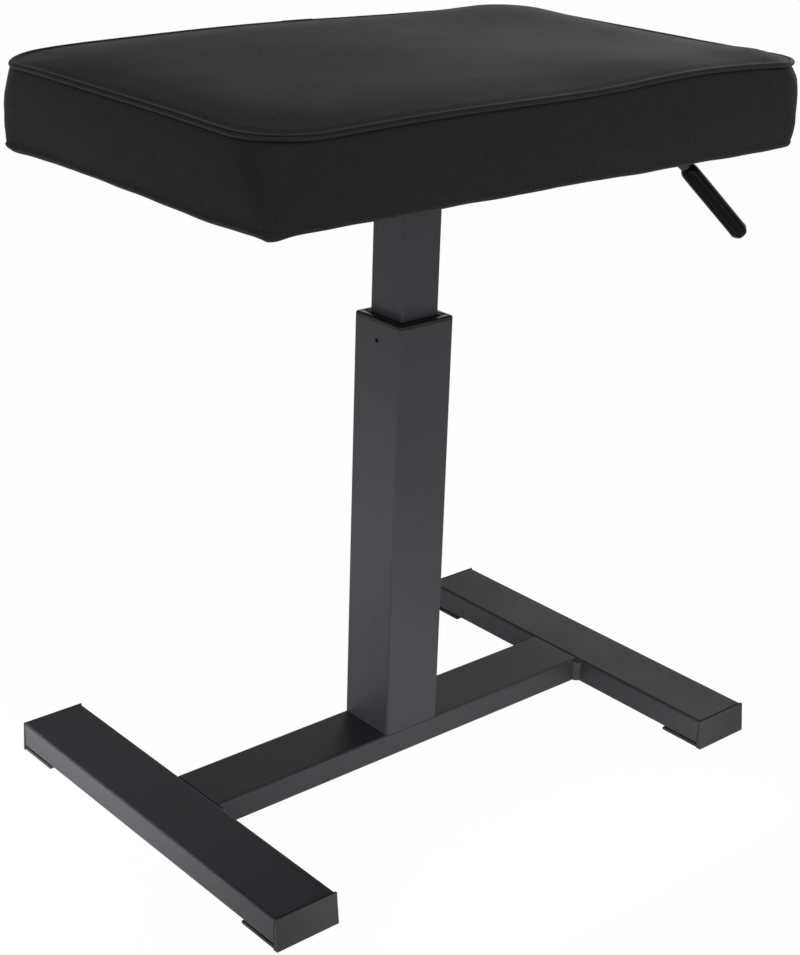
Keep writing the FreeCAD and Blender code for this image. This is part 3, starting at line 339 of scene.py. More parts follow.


# upholstery vinyl: pebble grain, darker in its crevices, and slow mottling
def vinylFinish(name, look):
    material, tree, surface = startMaterial(name, look["shader"])
    grain = useEffect(tree, "grain", Scale=look["grainScale"])
    drift = useEffect(tree, "drift", Scale=look["driftScale"]).outputs["Value"]
    dust = useEffect(tree, "dust", Scale=look["dustScale"], Amount=look["dust"]).outputs["Mask"]
    colour = blendColours(tree, drift, look["dark"], look["light"])
    crevice = grain.outputs["Crevice"]
    colour = blendColours(tree, mathNode(tree, "MULTIPLY", crevice, 0.5), colour, look["crevice"])
    colour = blendColours(tree, dust, colour, look["dustColour"])
    # painted shade: the colour is darkened towards the crevice colour in creases, most of all under
    # the piping
    creases = useEffect(tree, "creases", Radius=look["creaseShadeRadius"]).outputs["Mask"]
    colour = blendColours(tree, creases, colour, look["crevice"])
    rough = mapRange(tree, drift, 0.0, 1.0, *look["roughness"])
    rough = mathNode(tree, "ADD", rough, mathNode(tree, "MULTIPLY", crevice, creviceRoughness))
    height = grain.outputs["Height"]
    finishSurface(tree, surface, colour, rough, height, look["bump"], look["bumpDepth"])
    return material


# non-woven cloth: tangled fibres with small pressed dimples
def clothFinish(name, look):
    material, tree, surface = startMaterial(name, look["shader"])
    place = objectPlace(tree)
    fibres = put(tree, "ShaderNodeTexWave", wave_type="BANDS", bands_direction="DIAGONAL")
    fill(fibres, Scale=look["fibreScale"], Distortion=14.0, Detail=4.0, Detail_Scale=1.6)
    dimples = fill(put(tree, "ShaderNodeTexVoronoi"), Scale=look["dimpleScale"], Randomness=0.1)
    wire(tree, (place, fibres.inputs["Vector"]), (place, dimples.inputs["Vector"]))
    pressed = mapRange(tree, dimples.outputs["Distance"], 0.1, 0.34)
    colour = blendColours(tree, fibres.outputs["Fac"], look["dark"], look["light"])
    height = mathNode(tree, "ADD", mathNode(tree, "MULTIPLY", fibres.outputs["Fac"], 0.3), pressed)
    rough = mapRange(tree, pressed, 0.0, 1.0, *look["roughness"])
    finishSurface(tree, surface, colour, rough, height, look["bump"], look["bumpDepth"])
    return material


# birch plywood: stretched grain on the faces, glued layers on the edges
def plywoodFinish(name, look):
    material, tree, surface = startMaterial(name, look["shader"])
    place = objectPlace(tree)
    along = put(tree, "ShaderNodeMapping")
    along.inputs["Scale"].default_value = look["grainStretch"]
    layers = put(tree, "ShaderNodeTexWave", wave_type="BANDS", bands_direction="Z")
    fill(layers, Scale=look["layerScale"], Distortion=0.4)
    wire(tree, (place, along.inputs["Vector"]), (place, layers.inputs["Vector"]))
    grain = noiseAt(tree, along.outputs[0], look["grainScale"], 6.0, 0.65)
    colour = blendColours(tree, mapRange(tree, grain, 0.35, 0.7), look["light"], look["dark"])
    glue = mathNode(tree, "MULTIPLY", layers.outputs["Fac"], 0.3)
    colour = blendColours(tree, glue, colour, look["glue"])
    rough = mapRange(tree, grain, 0.0, 1.0, *look["roughness"])
    finishSurface(tree, surface, colour, rough, grain, look["bump"], look["bumpDepth"])
    return material


framePaint = coatedFinish("framePaint", {
    "shader": {"Specular IOR Level": 0.45, "IOR": 1.5},
    "dark": (0.0215, 0.021, 0.0248), "light": (0.024, 0.0235, 0.0275), "worn": (0.08, 0.08, 0.084),
    "driftScale": 11.0, "roughness": (0.42, 0.48),
    "wearRadius": 0.0009, "wearBreakup": 240.0, "wear": 0.35,
    "dustScale": 160.0, "dust": 0.012, "dustColour": (0.22, 0.21, 0.2),
    "peelScale": 1500.0, "peelFine": 0.5, "peelStrength": 0.28, "peelDepth": 0.0002,
})
capRubber = coatedFinish("capRubber", {
    "shader": {"Specular IOR Level": 0.3, "IOR": 1.45},
    "dark": (0.024, 0.024, 0.025), "light": (0.029, 0.029, 0.03), "worn": (0.065, 0.065, 0.067),
    "driftScale": 24.0, "roughness": (0.5, 0.62),
    "wearRadius": 0.0007, "wearBreakup": 420.0, "wear": 0.5,
    "dustScale": 240.0, "dust": 0.1, "dustColour": (0.2, 0.19, 0.18),
    "peelScale": 2400.0, "peelFine": 0.8, "peelStrength": 0.35, "peelDepth": 0.00015,
})
blackPlastic = coatedFinish("blackPlastic", {
    "shader": {"Specular IOR Level": 0.3, "IOR": 1.5},
    "dark": (0.005, 0.005, 0.0054), "light": (0.007, 0.007, 0.0074), "worn": (0.03, 0.03, 0.032),
    "driftScale": 30.0, "roughness": (0.16, 0.26),
    "wearRadius": 0.0004, "wearBreakup": 500.0, "wear": 0.4,
    "dustScale": 300.0, "dust": 0.04, "dustColour": (0.2, 0.2, 0.2),
    "peelScale": 700.0, "peelFine": 0.3, "peelStrength": 0.12, "peelDepth": 0.0002,
})
gripPlastic = coatedFinish("gripPlastic", {
    "shader": {"Specular IOR Level": 0.1, "IOR": 1.5},
    "dark": (0.003, 0.003, 0.0032), "light": (0.0045, 0.0045, 0.0048), "worn": (0.02, 0.02, 0.02),
    "driftScale": 40.0, "roughness": (0.2, 0.3),
    "wearRadius": 0.0004, "wearBreakup": 600.0, "wear": 0.3,
    "dustScale": 300.0, "dust": 0.03, "dustColour": (0.2, 0.2, 0.2),
    "peelScale": 600.0, "peelFine": 0.3, "peelStrength": 0.1, "peelDepth": 0.0002,
})
cylinderPaint = coatedFinish("cylinderPaint", {
    "shader": {"Specular IOR Level": 0.5, "IOR": 1.5},
    "dark": (0.008, 0.008, 0.008), "light": (0.012, 0.012, 0.012), "worn": (0.1, 0.1, 0.1),
    "driftScale": 18.0, "roughness": (0.22, 0.32),
    "wearRadius": 0.0008, "wearBreakup": 260.0, "wear": 0.5,
    "dustScale": 200.0, "dust": 0.1, "dustColour": (0.2, 0.19, 0.18),
    "peelScale": 800.0, "peelFine": 0.3, "peelStrength": 0.12, "peelDepth": 0.0002,
})
zincSteel = metalFinish("zincSteel", {
    "shader": {"Metallic": 1.0},
    "dark": (0.5, 0.49, 0.46), "light": (0.66, 0.66, 0.64), "worn": (0.82, 0.82, 0.8),
    "driftScale": 90.0, "fineScale": 900.0, "stretch": 1.0, "roughness": (0.26, 0.42), "bump": 0.2,
})
polishedRod = metalFinish("polishedRod", {
    "shader": {"Metallic": 1.0},
    "dark": (0.7, 0.7, 0.71), "light": (0.8, 0.8, 0.81), "worn": (0.9, 0.9, 0.9),
    "driftScale": 40.0, "fineScale": 600.0, "stretch": 14.0, "roughness": (0.08, 0.2), "bump": 0.06,
})
vinylLook = {
    "shader": {
        "Specular IOR Level": 0.07, "IOR": 1.45, "Sheen Weight": 0.06, "Sheen Roughness": 0.25,
    },
    "dark": (0.0195, 0.0187, 0.0198), "light": (0.0211, 0.0202, 0.0214),
    # the crevice colour is also the colour of the painted crease shade
    "crevice": (0.007, 0.007, 0.007), "creaseShadeRadius": 0.012,
    "grainScale": 900.0, "driftScale": 14.0,
    "dustScale": 120.0, "dust": 0.004, "dustColour": (0.2, 0.19, 0.18),
    "roughness": (0.47, 0.51), "bump": 0.22, "bumpDepth": 0.00025,
}
seatVinyl = vinylFinish("seatVinyl", vinylLook)
weltVinyl = vinylFinish("weltVinyl", {  # stretched tight over its cord, so a little glossier
    **vinylLook,
    "shader": {"Specular IOR Level": 0.13, "IOR": 1.45},
    "roughness": (0.38, 0.44), "bump": 0.12,
})
dustCloth = clothFinish("dustCloth", {
    "shader": {"Specular IOR Level": 0.15, "Sheen Weight": 0.15, "Sheen Roughness": 0.6},
    "dark": (0.008, 0.008, 0.008), "light": (0.02, 0.02, 0.02),
    "fibreScale": 320.0, "dimpleScale": 420.0,
    "roughness": (0.62, 0.92), "bump": 0.5, "bumpDepth": 0.0003,
})
plywood = plywoodFinish("plywood", {
    "shader": {"Specular IOR Level": 0.3},
    "light": (0.5, 0.35, 0.19), "dark": (0.33, 0.2, 0.1), "glue": (0.16, 0.09, 0.045),
    "grainScale": 60.0, "grainStretch": (1.0, 14.0, 14.0), "layerScale": 105.0,
    "roughness": (0.6, 0.8), "bump": 0.3, "bumpDepth": 0.0003,
})

slotFinish = {
    "frame_paint": framePaint,
    "cap_rubber": capRubber,
    "black_plastic": blackPlastic,
    "grip_plastic": gripPlastic,
    "zinc_steel": zincSteel,
    "polished_rod": polishedRod,
    "cylinder_paint": cylinderPaint,
    "black_vinyl": seatVinyl,
    "plywood": plywood,
    "dust_cloth": dustCloth,
}
slotOfNode = {part["node"]: part["material_slot"] for part in frame["record"]["subparts"]}


def finishNodes():
    for name, node in nodes.items():
        finish = slotFinish.get(slotOfNode[name])
        if finish is None:
            continue
        node.data.materials.clear()
        node.data.materials.append(finish)


finishNodes()
print("materials made")


# one piece from forms in millimetres, each a pair of points and faces
def makePiece(name, forms, body, slot, crease=35.0, finish=None):
    points, faces = gather(forms)
    mesh = bpy.data.meshes.new(name)
    mesh.from_pydata([tuple(point) for point in points / 1000], [], faces)
    mesh.validate()
    form = bmesh.new()
    form.from_mesh(mesh)
    bmesh.ops.remove_doubles(form, verts=form.verts, dist=1e-6)
    bmesh.ops.recalc_face_normals(form, faces=form.faces)
    for face in form.faces:
        face.smooth = True
    for edge in form.edges:
        if len(edge.link_faces) == 2:
            edge.smooth = edge.calc_face_angle(0) < math.radians(crease)
    form.to_mesh(mesh)
    form.free()
    piece = bpy.data.objects.new(name, mesh)
    scene.collection.objects.link(piece)
    mesh.materials.append(finish or slotFinish[slot])
    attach(piece, body)
    return piece


# quads between rows of equally many points, each row a closed ring
def stripFaces(rows, count, closedRows=False):
    faces = []
    for row in range(rows if closedRows else rows - 1):
        low = row * count
        high = (row + 1) % rows * count
        for column in range(count):
            following = (column + 1) % count
            faces.append((low + column, low + following, high + following, high + column))
    return faces


# the same with a flat face on the first and the last row
def closedForm(points, count):
    rows = len(points) // count
    faces = stripFaces(rows, count)
    faces.append(tuple(reversed(range(count))))
    faces.append(tuple(range((rows - 1) * count, rows * count)))
    return np.array(points), faces


# several forms as one list of points and one of faces
def gather(forms):
    points, faces, start = [], [], 0
    for formPoints, formFaces in forms:
        points.append(np.array(formPoints))
        faces += [tuple(start + index for index in face) for face in formFaces]
        start += len(formPoints)
    return np.vstack(points), faces


# left and right by front and rear
quarters = [(sideX, sideY) for sideX in (-1, 1) for sideY in (-1, 1)]

seatCounts = {"deep": 66, "long": 108, "corner": 22}  # points along a side and round a corner
smallCounts = {"deep": 2, "long": 3, "corner": 6}


# points round a rectangle with round corners, equally many on each side whatever its size
def outlineRing(length, depth, corner, counts=seatCounts):
    corner = max(corner, 0.05)
    halfLong, halfDeep = length / 2 - corner, depth / 2 - corner
    centres = np.array([
        (halfLong, halfDeep), (-halfLong, halfDeep), (-halfLong, -halfDeep), (halfLong, -halfDeep),
    ])
    points = []
    for turn in range(4):
        angle = turn * math.pi / 2
        outward = np.array((math.cos(angle), math.sin(angle)))
        straight = counts["deep"] if turn % 2 == 0 else counts["long"]
        for step in range(straight):
            middle = centres[turn - 1] + (centres[turn] - centres[turn - 1]) * step / straight
            points.append(middle + outward * corner)
        for step in range(counts["corner"]):
            bend = angle + math.pi / 2 * step / counts["corner"]
            points.append(centres[turn] + corner * np.array((math.cos(bend), math.sin(bend))))
    return np.array(points)


def atHeight(outline, height):
    return np.column_stack((outline, np.full(len(outline), height)))


def unitRows(rows):
    return rows / np.linalg.norm(rows, axis=1)[:, None]


# a path through bend points with a round bend of one radius at each inner point
def bentPath(corners, radius, steps=8):
    corners = [Vector(corner) for corner in corners]
    path = [corners[0]]
    for before, corner, after in zip(corners, corners[1:], corners[2:]):
        back = (before - corner).normalized()
        ahead = (after - corner).normalized()
        halfAngle = back.angle(ahead) / 2
        centre = corner + (back + ahead).normalized() * (radius / math.sin(halfAngle))
        first = corner + back * (radius / math.tan(halfAngle)) - centre
        last = corner + ahead * (radius / math.tan(halfAngle)) - centre
        for step in range(steps + 1):
            path.append(centre + first.slerp(last, step / steps) * radius)
    path.append(corners[-1])
    return path


# rings of a changing section set along a path: each section is width, height and corner
def sweep(path, sections, counts=smallCounts, side=None):
    path = np.array([tuple(point) for point in path])
    runs = unitRows(np.diff(path, axis=0))
    ahead = unitRows(np.vstack((runs[:1], runs[:-1] + runs[1:], runs[-1:])))
    points = []
    for place, direction, section in zip(path, ahead, sections):
        across = np.cross(direction, (0, 0, 1)) if side is None else np.array(side)
        across = across / np.linalg.norm(across)
        upward = np.cross(across, direction)
        for x, y in outlineRing(*section, counts):
            points.append(place + across * x + upward * y)
    return closedForm(points, 2 * (counts["deep"] + counts["long"]) + 4 * counts["corner"])


# rings round an axis: each is its distance along, its radius and how faceted it is, 0 to 1
def turned(rings, place, direction, facets=6, columns=48, bored=False):
    turn = Vector(direction).to_track_quat("Z", "Y")
    flat = 2 * math.pi / facets
    points = []
    for distance, radius, faceted in rings:
        for column in range(columns):
            angle = 2 * math.pi * column / columns
            polygon = 1 / math.cos(angle % flat - flat / 2)
            reach = radius * (1 + faceted * (polygon - 1))
            points.append(Vector(place) + turn @ Vector((
                reach * math.cos(angle), reach * math.sin(angle), distance,
            )))
    points = np.array([tuple(point) for point in points])
    if bored:
        return points, stripFaces(len(rings), columns, closedRows=True)
    return closedForm(points, columns)


# the padded seat, millimetres from the floor
seat = {
    "foot": 464.0,
    "seam": 522.5,
    "bellyShare": 0.56,
    "footOutline": (463.0, 295.0, 11.0),  # length, depth, corner
    "bellyOutline": (473.6, 307.8, 22.0),
    "seamOutline": (470.5, 305.0, 39.0),
    "crown": 9.0,
    "crownStart": 1.5,  # rise of its first ring over the seam
    "crownPacing": 1.35,  # over 1, its rings lie closer near the seam
    "crownReach": 0.62,  # share of the half depth at which it is at its full height
    "crownFullness": 4.4,
    "seamDips": [(1.0, -1.4), (2.0, 0.0), (1.3, 1.5)],  # inset and rise beside the piping
    "footRounding": 5.2,
    "hemInner": (418.0, 250.0, 10.0),
    "hemTurns": [(-4.0, 6.0, "hidden"), (0.0, 1.0, "hem"), (1.5, 0.25, "hem")],  # growth and rise
    "steps": (20, 30),  # rings up the side and over the crown
    "clothSteps": (10, 12),
}

# places where the seam lies over or under its level: x, y, rise and reach
seamWander = [
    (-225.0, -143.0, -3.0, 55.0),
    (-232.0, 0.0, -1.6, 90.0),
    (105.0, -152.0, 4.2, 52.0),
    (175.0, -152.0, 1.8, 40.0),
    (40.0, -152.0, -0.8, 40.0),
    (225.0, 140.0, 1.8, 60.0),
    (-20.0, 152.0, 4.0, 110.0),
    (234.0, 0.0, 0.9, 60.0),
    (-228.0, 144.0, -2.4, 26.0),
]

# the same for the cover's foot
footWander = [
    (-232.0, -80.0, -2.3, 42.0),
    (-228.0, 138.0, -2.0, 18.0),
    (5.0, -148.0, 0.7, 26.0),
]

# how far the seam, the piping and the foot are drawn in or out in plan: x, y, push and reach
seamPulls = [(-234.0, 146.0, -1.0, 22.0), (234.0, -148.0, 0.6, 26.0)]
pipingPulls = [(-234.0, 146.0, -2.6, 22.0), (234.0, -148.0, 0.8, 26.0)]
footPulls = [(-230.0, 146.0, -1.2, 15.0), (230.0, -146.0, -0.2, 24.0)]

# places where the side stands out or falls in: x, y, share of the height, reach and push
sidePushes = [
    (232.0, -148.0, 0.84, 34.0, 3.4),
    (-232.0, 148.0, 0.3, 42.0, -1.6),
    (-60.0, -156.0, 0.4, 60.0, -0.7),
    (120.0, -156.0, 0.45, 50.0, 0.8),
    (-240.0, -40.0, 0.5, 50.0, -0.8),
]


# length, depth and corner of the side at a share of its height, through its three outlines
def sideOutline(share):
    belly = seat["bellyShare"]
    weights = (
        (share - belly) * (share - 1) / belly,
        share * (share - 1) / (belly * (belly - 1)),
        share * (share - belly) / (1 - belly),
    )
    outlines = (seat["footOutline"], seat["bellyOutline"], seat["seamOutline"])
    return tuple(
        sum(weight * outline[part] for weight, outline in zip(weights, outlines))
        for part in range(3)
    )


def nearness(points, x, y, reach):
    return np.exp(-((points[:, 0] - x) ** 2 + (points[:, 1] - y) ** 2) / (2 * reach ** 2))


# how far the seam or the foot lies over its level line near each point
def wanderAt(points, places):
    return sum(height * nearness(points, x, y, reach) for x, y, height, reach in places)


# rings of the cover from under the board, round its foot, up its side and over its crown
def seatRings(sideSteps, crownSteps):
    height = seat["seam"] - seat["foot"]
    inner, outer, seam = seat["hemInner"], seat["footOutline"], seat["seamOutline"]
    rounding = seat["footRounding"]
    roundShare = rounding / height
    atRound = sideOutline(roundShare)
    flat = (atRound[0] - 2 * rounding, atRound[1] - 2 * rounding)
    flatCorner = max(outer[2] - rounding, 6)
    rings = [
        (inner[0] + growth, inner[1] + growth, inner[2], seat["foot"] + rise, kind)
        for growth, rise, kind in seat["hemTurns"]
    ]
    startLong, startDeep = rings[-1][:2]
    for step in range(1, 5):
        share = step / 4
        rings.append((
            startLong + (flat[0] - startLong) * share,
            startDeep + (flat[1] - startDeep) * share,
            inner[2] + (flatCorner - inner[2]) * share, seat["foot"], "hem",
        ))
    for step in range(1, 6):
        bend = math.pi / 2 * step / 6
        out = rounding * math.sin(bend)
        rings.append((
            flat[0] + 2 * out, flat[1] + 2 * out, flatCorner + out,
            seat["foot"] + rounding * (1 - math.cos(bend)), "foot",
        ))
    for step in range(sideSteps):
        share = roundShare + (1 - roundShare) * step / sideSteps
        length, depth, corner = sideOutline(share)
        blend = min(1, step / sideSteps * 3)
        corner = corner * blend + (flatCorner + rounding) * (1 - blend)
        rings.append((length, depth, corner, seat["foot"] + height * share, "side"))
    for dip, rise in seat["seamDips"]:
        rings.append((
            seam[0] - 2 * dip, seam[1] - 2 * dip, seam[2] - dip, seat["seam"] + rise, "seam",
        ))
    start = seat["crownStart"]
    for step in range(1, crownSteps + 1):
        share = (step / crownSteps) ** seat["crownPacing"]
        shrink = (seam[1] - 0.2) * share
        swell = 1 - (1 - min(1, share / seat["crownReach"])) ** seat["crownFullness"]
        rise = start + (seat["crown"] - start) * swell
        corner = seam[2] * (1 - share) + 0.1 * share
        rings.append((seam[0] - shrink, seam[1] - shrink, corner, seat["seam"] + rise, "crown"))
    return rings


def ringMesh(rings):
    points = [
        atHeight(outlineRing(length, depth, min(corner, depth / 2 - 0.1)), height)
        for length, depth, corner, height, _ in rings
    ]
    return closedForm(np.vstack(points), len(points[0]))


def linkScratch(name, points, faces):
    mesh = bpy.data.meshes.new(name)
    mesh.from_pydata([tuple(point) for point in points / 1000], [], faces)
    scratch = bpy.data.objects.new(name, mesh)
    scene.collection.objects.link(scratch)
    return scratch


def evaluatedPoints(scratch):
    shown = scratch.evaluated_get(bpy.context.evaluated_depsgraph_get())
    mesh = shown.to_mesh()
    points = np.empty(len(mesh.vertices) * 3)
    mesh.vertices.foreach_get("co", points)
    shown.to_mesh_clear()
    return points.reshape(-1, 3)


def treeOf(points):
    tree = KDTree(len(points))
    for index, point in enumerate(points):
        tree.insert(point, index)
    tree.balance()
    return tree


# the air in the cushion, metres
puff = {
    "voxel": 0.006,
    "frames": 20,
    "cap": 0.006,  # longest shift
    "seamHold": 0.009,  # how far from the seam the cover is held
    "footHold": 0.007,
    "neighbours": 10,
    "evenRounds": 14,
    "evenShares": (0.4, 0.3, 0.15),  # of a point itself, of those beside it, of each over and under
    "cloth": {
        "quality": 5, "mass": 0.3, "tension_stiffness": 12, "compression_stiffness": 12,
        "shear_stiffness": 6, "bending_stiffness": 0.6, "shrink_min": 0.02, "use_pressure": True,
        "uniform_pressure_force": 4.0, "vertex_group_mass": "held", "pin_stiffness": 1.0,
    },
}


# rest points and their shifts after the closed form has been blown up as cloth
def inflate(points, faces):
    scratch = linkScratch("puff", points, faces)
    remesh = scratch.modifiers.new("even", "REMESH")
    remesh.mode = "VOXEL"
    remesh.voxel_size = puff["voxel"]
    shown = scratch.evaluated_get(bpy.context.evaluated_depsgraph_get())
    even = bpy.data.meshes.new_from_object(shown)
    scratch.modifiers.clear()
    scratch.data = even
    rest = evaluatedPoints(scratch)
    pins = scratch.vertex_groups.new(name="held")
    tree = treeOf(atHeight(outlineRing(*seat["seamOutline"]), seat["seam"]) / 1000)
    for index, point in enumerate(rest):
        _, _, gap = tree.find(point)
        hold = max(0.0, 1 - gap / puff["seamHold"])
        if point[2] < seat["foot"] / 1000 + puff["footHold"]:
            hold = 1.0
        if hold > 0:
            pins.add([index], hold, "REPLACE")
    cloth = scratch.modifiers.new("air", "CLOTH")
    for name, value in puff["cloth"].items():
        setattr(cloth.settings, name, value)
    cloth.settings.effector_weights.gravity = 0
    cloth.collision_settings.use_collision = False
    for number in range(1, puff["frames"] + 1):
        scene.frame_set(number)
    moved = evaluatedPoints(scratch)
    scene.frame_set(1)
    bpy.data.objects.remove(scratch)
    shift = moved - rest
    length = np.linalg.norm(shift, axis=1)
    scale = np.minimum(1, puff["cap"] / np.maximum(length, 1e-9))
    print("cloth moved", round(float(length.mean()) * 1000, 2), "mm on average")
    return rest * 1000, shift * scale[:, None] * 1000


# even out the carried shifts over the rings and round them
def evenOut(shift, rows):
    own, beside, stacked = puff["evenShares"]
    grid = shift.reshape(rows, -1, 3)
    for _ in range(puff["evenRounds"]):
        around = (np.roll(grid, 1, axis=1) + np.roll(grid, -1, axis=1)) / 2
        above = np.vstack((grid[:1], grid[:-1]))
        below = np.vstack((grid[1:], grid[-1:]))
        grid = grid * own + around * beside + (above + below) * stacked
    return grid.reshape(-1, 3)


# carry the cloth's shifts over to the points of the final mesh
def spreadShift(points, rest, shift, share):
    tree = treeOf(rest)
    carried = np.zeros_like(points)
    for index, point in enumerate(points):
        total = 0.0
        for _, near, gap in tree.find_n(point, puff["neighbours"]):
            weight = 1 / (gap + 2.0) ** 2  # millimetres, so that the nearest doesn't rule alone
            carried[index] += shift[near] * weight
            total += weight
        carried[index] /= total
    return carried * share


cushionDetail = {
    "puffShare": 0.5,
    "pushFade": 6,  # how fast a push of the side dies out near the foot and the seam
    "pushHeight": 0.3,
    "hemWave": 0.35,
    "hemWaves": [(17, 0.0, 0.6), (41, 1.3, 0.4)],  # waves round the hem, their start and share
    "cornerPleats": 3,
    "pleatDepth": 0.5,
    "pleatSpill": 0.3,  # how far the pleats run on beyond the corner's ends
    "pleatLift": 0.3,
    "pleatReach": 0.13,  # share of the side's height
    "frontTip": (-229.0, -145.0, 6.5, 1.7),  # x, y, reach and drop of the folded tip
    "welt": 0.45,  # the sewn allowance that shows through beside the piping
    "weltFrom": 3.6,
    "weltWidth": 1.1,
    "crownHumps": [(198.0, 112.0, 46.0, 3.0), (212.0, -118.0, 24.0, 2.4)],  # x, y, reach and rise
    "humpFrom": 12.0,  # inset at which a hump has its full rise
    "pullInset": 40.0,  # how far into the crown a pull of the seam reaches
    "board": (459.6, 291.6, 13.3),  # length, depth and corner of its edge
    "boardLevels": (464.75, 481.0),
    "boardClear": 0.6,
}


# share of the side's height at each point, 0 at the foot and 1 at the seam
def heightShare(points):
    return (points[:, 2] - seat["foot"]) / (seat["seam"] - seat["foot"])


# directions out of the side in plan, one for each column of points
def outwardAt():
    outline = outlineRing(*seat["bellyOutline"])
    along = np.roll(outline, -1, axis=0) - np.roll(outline, 1, axis=0)
    return unitRows(np.column_stack((along[:, 1], -along[:, 0])))


def pushSide(points, kinds, outward):
    share = heightShare(points)
    fade, tall = cushionDetail["pushFade"], cushionDetail["pushHeight"]
    even = np.clip(share * fade, 0, 1) * np.clip((1 - share) * fade, 0, 1) * (kinds == "side")
    for x, y, middle, reach, push in sidePushes:
        near = nearness(points, x, y, reach) * np.exp(-((share - middle) / tall) ** 2)
        points[:, :2] += outward * (push * near * even)[:, None]


# the side turns its corners in a soft curve, not in a true arc
def softenCorners(points, kinds, count, height, rounds=36):
    soft = points.reshape(-1, count, 3)[:, :, :2].copy()
    for _ in range(rounds):
        soft = soft / 2 + (np.roll(soft, 1, axis=1) + np.roll(soft, -1, axis=1)) / 4
    share = np.isin(kinds, ("side", "foot")) * np.clip((1 - height) * 4, 0, 1)
    points[:, :2] += (soft.reshape(-1, 2) - points[:, :2]) * share[:, None]


# how far each ring lies inside the seam's outline
def insetOf(rings, count):
    return np.repeat([(seat["seamOutline"][1] - ring[1]) / 2 for ring in rings], count)


# draws the seam and the foot in or out, with the crown, the side and the hem beside them
def pullEdges(points, kinds, rings, count, height, outward):
    inner, foot = seat["hemInner"][1], seat["footOutline"][1]
    fromSeam = np.clip(1 - insetOf(rings, count) / cushionDetail["pullInset"], 0, 1)
    spread = np.repeat([(ring[1] - inner) / (foot - inner) for ring in rings], count)
    seamShare = np.where(kinds == "crown", fromSeam, height ** 5)
    footShare = np.where(kinds == "hem", np.clip(spread, 0, 1), (1 - height) ** 2)
    push = wanderAt(points, seamPulls) * seamShare + wanderAt(points, footPulls) * footShare
    points[:, :2] += outward * (push * (kinds != "hidden"))[:, None]


# gathers in the foot's corners, slack between the staples, and the folded tip at the front
def shapeHem(points, kinds, count, outward):
    column = np.tile(np.arange(count), len(points) // count)
    share = np.clip(heightShare(points), 0, 1)
    low = np.exp(-share / cushionDetail["pleatReach"])
    foot = np.isin(kinds, ("hem", "foot", "side"))
    around = column / count * 2 * math.pi
    wave = sum(
        np.sin(around * waves + begin) * part for waves, begin, part in cushionDetail["hemWaves"]
    )
    points[:, 2] += wave * cushionDetail["hemWave"] * low * foot
    spill = cushionDetail["pleatSpill"]
    start = 0
    for turn in range(4):
        start += seatCounts["deep"] if turn % 2 == 0 else seatCounts["long"]
        inCorner = (column - start) / seatCounts["corner"]
        inside = np.sin(np.clip((inCorner + spill) / (1 + 2 * spill), 0, 1) * math.pi) ** 2
        pleat = np.cos(inCorner * 2 * math.pi * cushionDetail["cornerPleats"])
        push = cushionDetail["pleatDepth"] * inside * pleat * low * foot
        points[:, :2] += outward * push[:, None]
        points[:, 2] += push * cushionDetail["pleatLift"]
        start += seatCounts["corner"]
    x, y, reach, drop = cushionDetail["frontTip"]
    points[:, 2] -= nearness(points, x, y, reach) * drop * low * foot


# a shallow line along the piping where the sewn allowance ends, and the stuffing's humps
def shapeCrown(points, kinds, rings, count):
    inset = insetOf(rings, count)
    line = np.exp(-((inset - cushionDetail["weltFrom"]) / cushionDetail["weltWidth"]) ** 2)
    crown = kinds == "crown"
    points[:, 2] -= crown * line * cushionDetail["welt"]
    inside = np.clip(inset / cushionDetail["humpFrom"], 0, 1)
    for x, y, reach, rise in cushionDetail["crownHumps"]:
        points[:, 2] += crown * nearness(points, x, y, reach) * rise * inside


# the cover lies on the board's edge and under the board, never inside it
def keepOffBoard(points, kinds):
    length, depth, corner = cushionDetail["board"]
    clear = cushionDetail["boardClear"]
    beyond = np.abs(points[:, :2]) - (length / 2 - corner, depth / 2 - corner)
    inCorner = np.maximum(beyond, 0)
    gap = np.linalg.norm(inCorner, axis=1) + np.minimum(beyond.max(axis=1), 0) - corner
    low, high = cushionDetail["boardLevels"]
    near = (points[:, 2] > low) & (points[:, 2] < high) & (gap < clear)
    below = near & np.isin(kinds, ("hem", "foot"))
    points[below, 2] = low
    beside = near & (kinds == "side")
    way = inCorner / np.maximum(np.linalg.norm(inCorner, axis=1), 1e-6)[:, None]
    way *= np.sign(points[:, :2])
    points[beside, :2] += (way * (clear - gap)[:, None])[beside]


def makeCushion():
    rings = seatRings(*seat["steps"])
    points, faces = ringMesh(rings)
    count = len(points) // len(rings)
    kinds = np.repeat([ring[4] for ring in rings], count)
    outward = np.tile(outwardAt(), (len(rings), 1))
    rest, shift = inflate(*ringMesh(seatRings(*seat["clothSteps"])[2:]))
    carried = spreadShift(points, rest, shift, cushionDetail["puffShare"])
    loose = np.isin(kinds, ("side", "crown"))[:, None]
    points += evenOut(carried * loose, len(rings)) * loose
    height = np.clip(heightShare(points), 0, 1)
    softenCorners(points, kinds, count, height)
    pushSide(points, kinds, outward)
    pullEdges(points, kinds, rings, count, height, outward)
    shown = kinds != "hidden"
    points[:, 2] += wanderAt(points, seamWander) * height ** 1.5 * shown
    points[:, 2] += wanderAt(points, footWander) * (1 - height) ** 2 * shown
    shapeHem(points, kinds, count, outward)
    keepOffBoard(points, kinds)
    shapeCrown(points, kinds, rings, count)
    middle = points[-count:]  # the last ring closes to one line
    reach = (rings[-1][0] - rings[-1][1]) / 2
    middle[:, 0] = np.clip(middle[:, 0], -reach, reach)
    middle[:, 1] = 0
    faces.pop()
    piece = makePiece("seat_cushion", [(points, faces)], "seat", "black_vinyl", crease=80.0)
    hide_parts("seat_side_band", "seat_top_panel", "seat_foam")


# the piping: millimetres, "out" is how far its middle lies outside the seam
piping = {
    "radius": 1.95, "out": 0.35, "sides": 14, "lump": 0.036,
    "lap": (20.0, 13.0, 0.3),  # x, half length and added radius of the ends joined at the rear
}


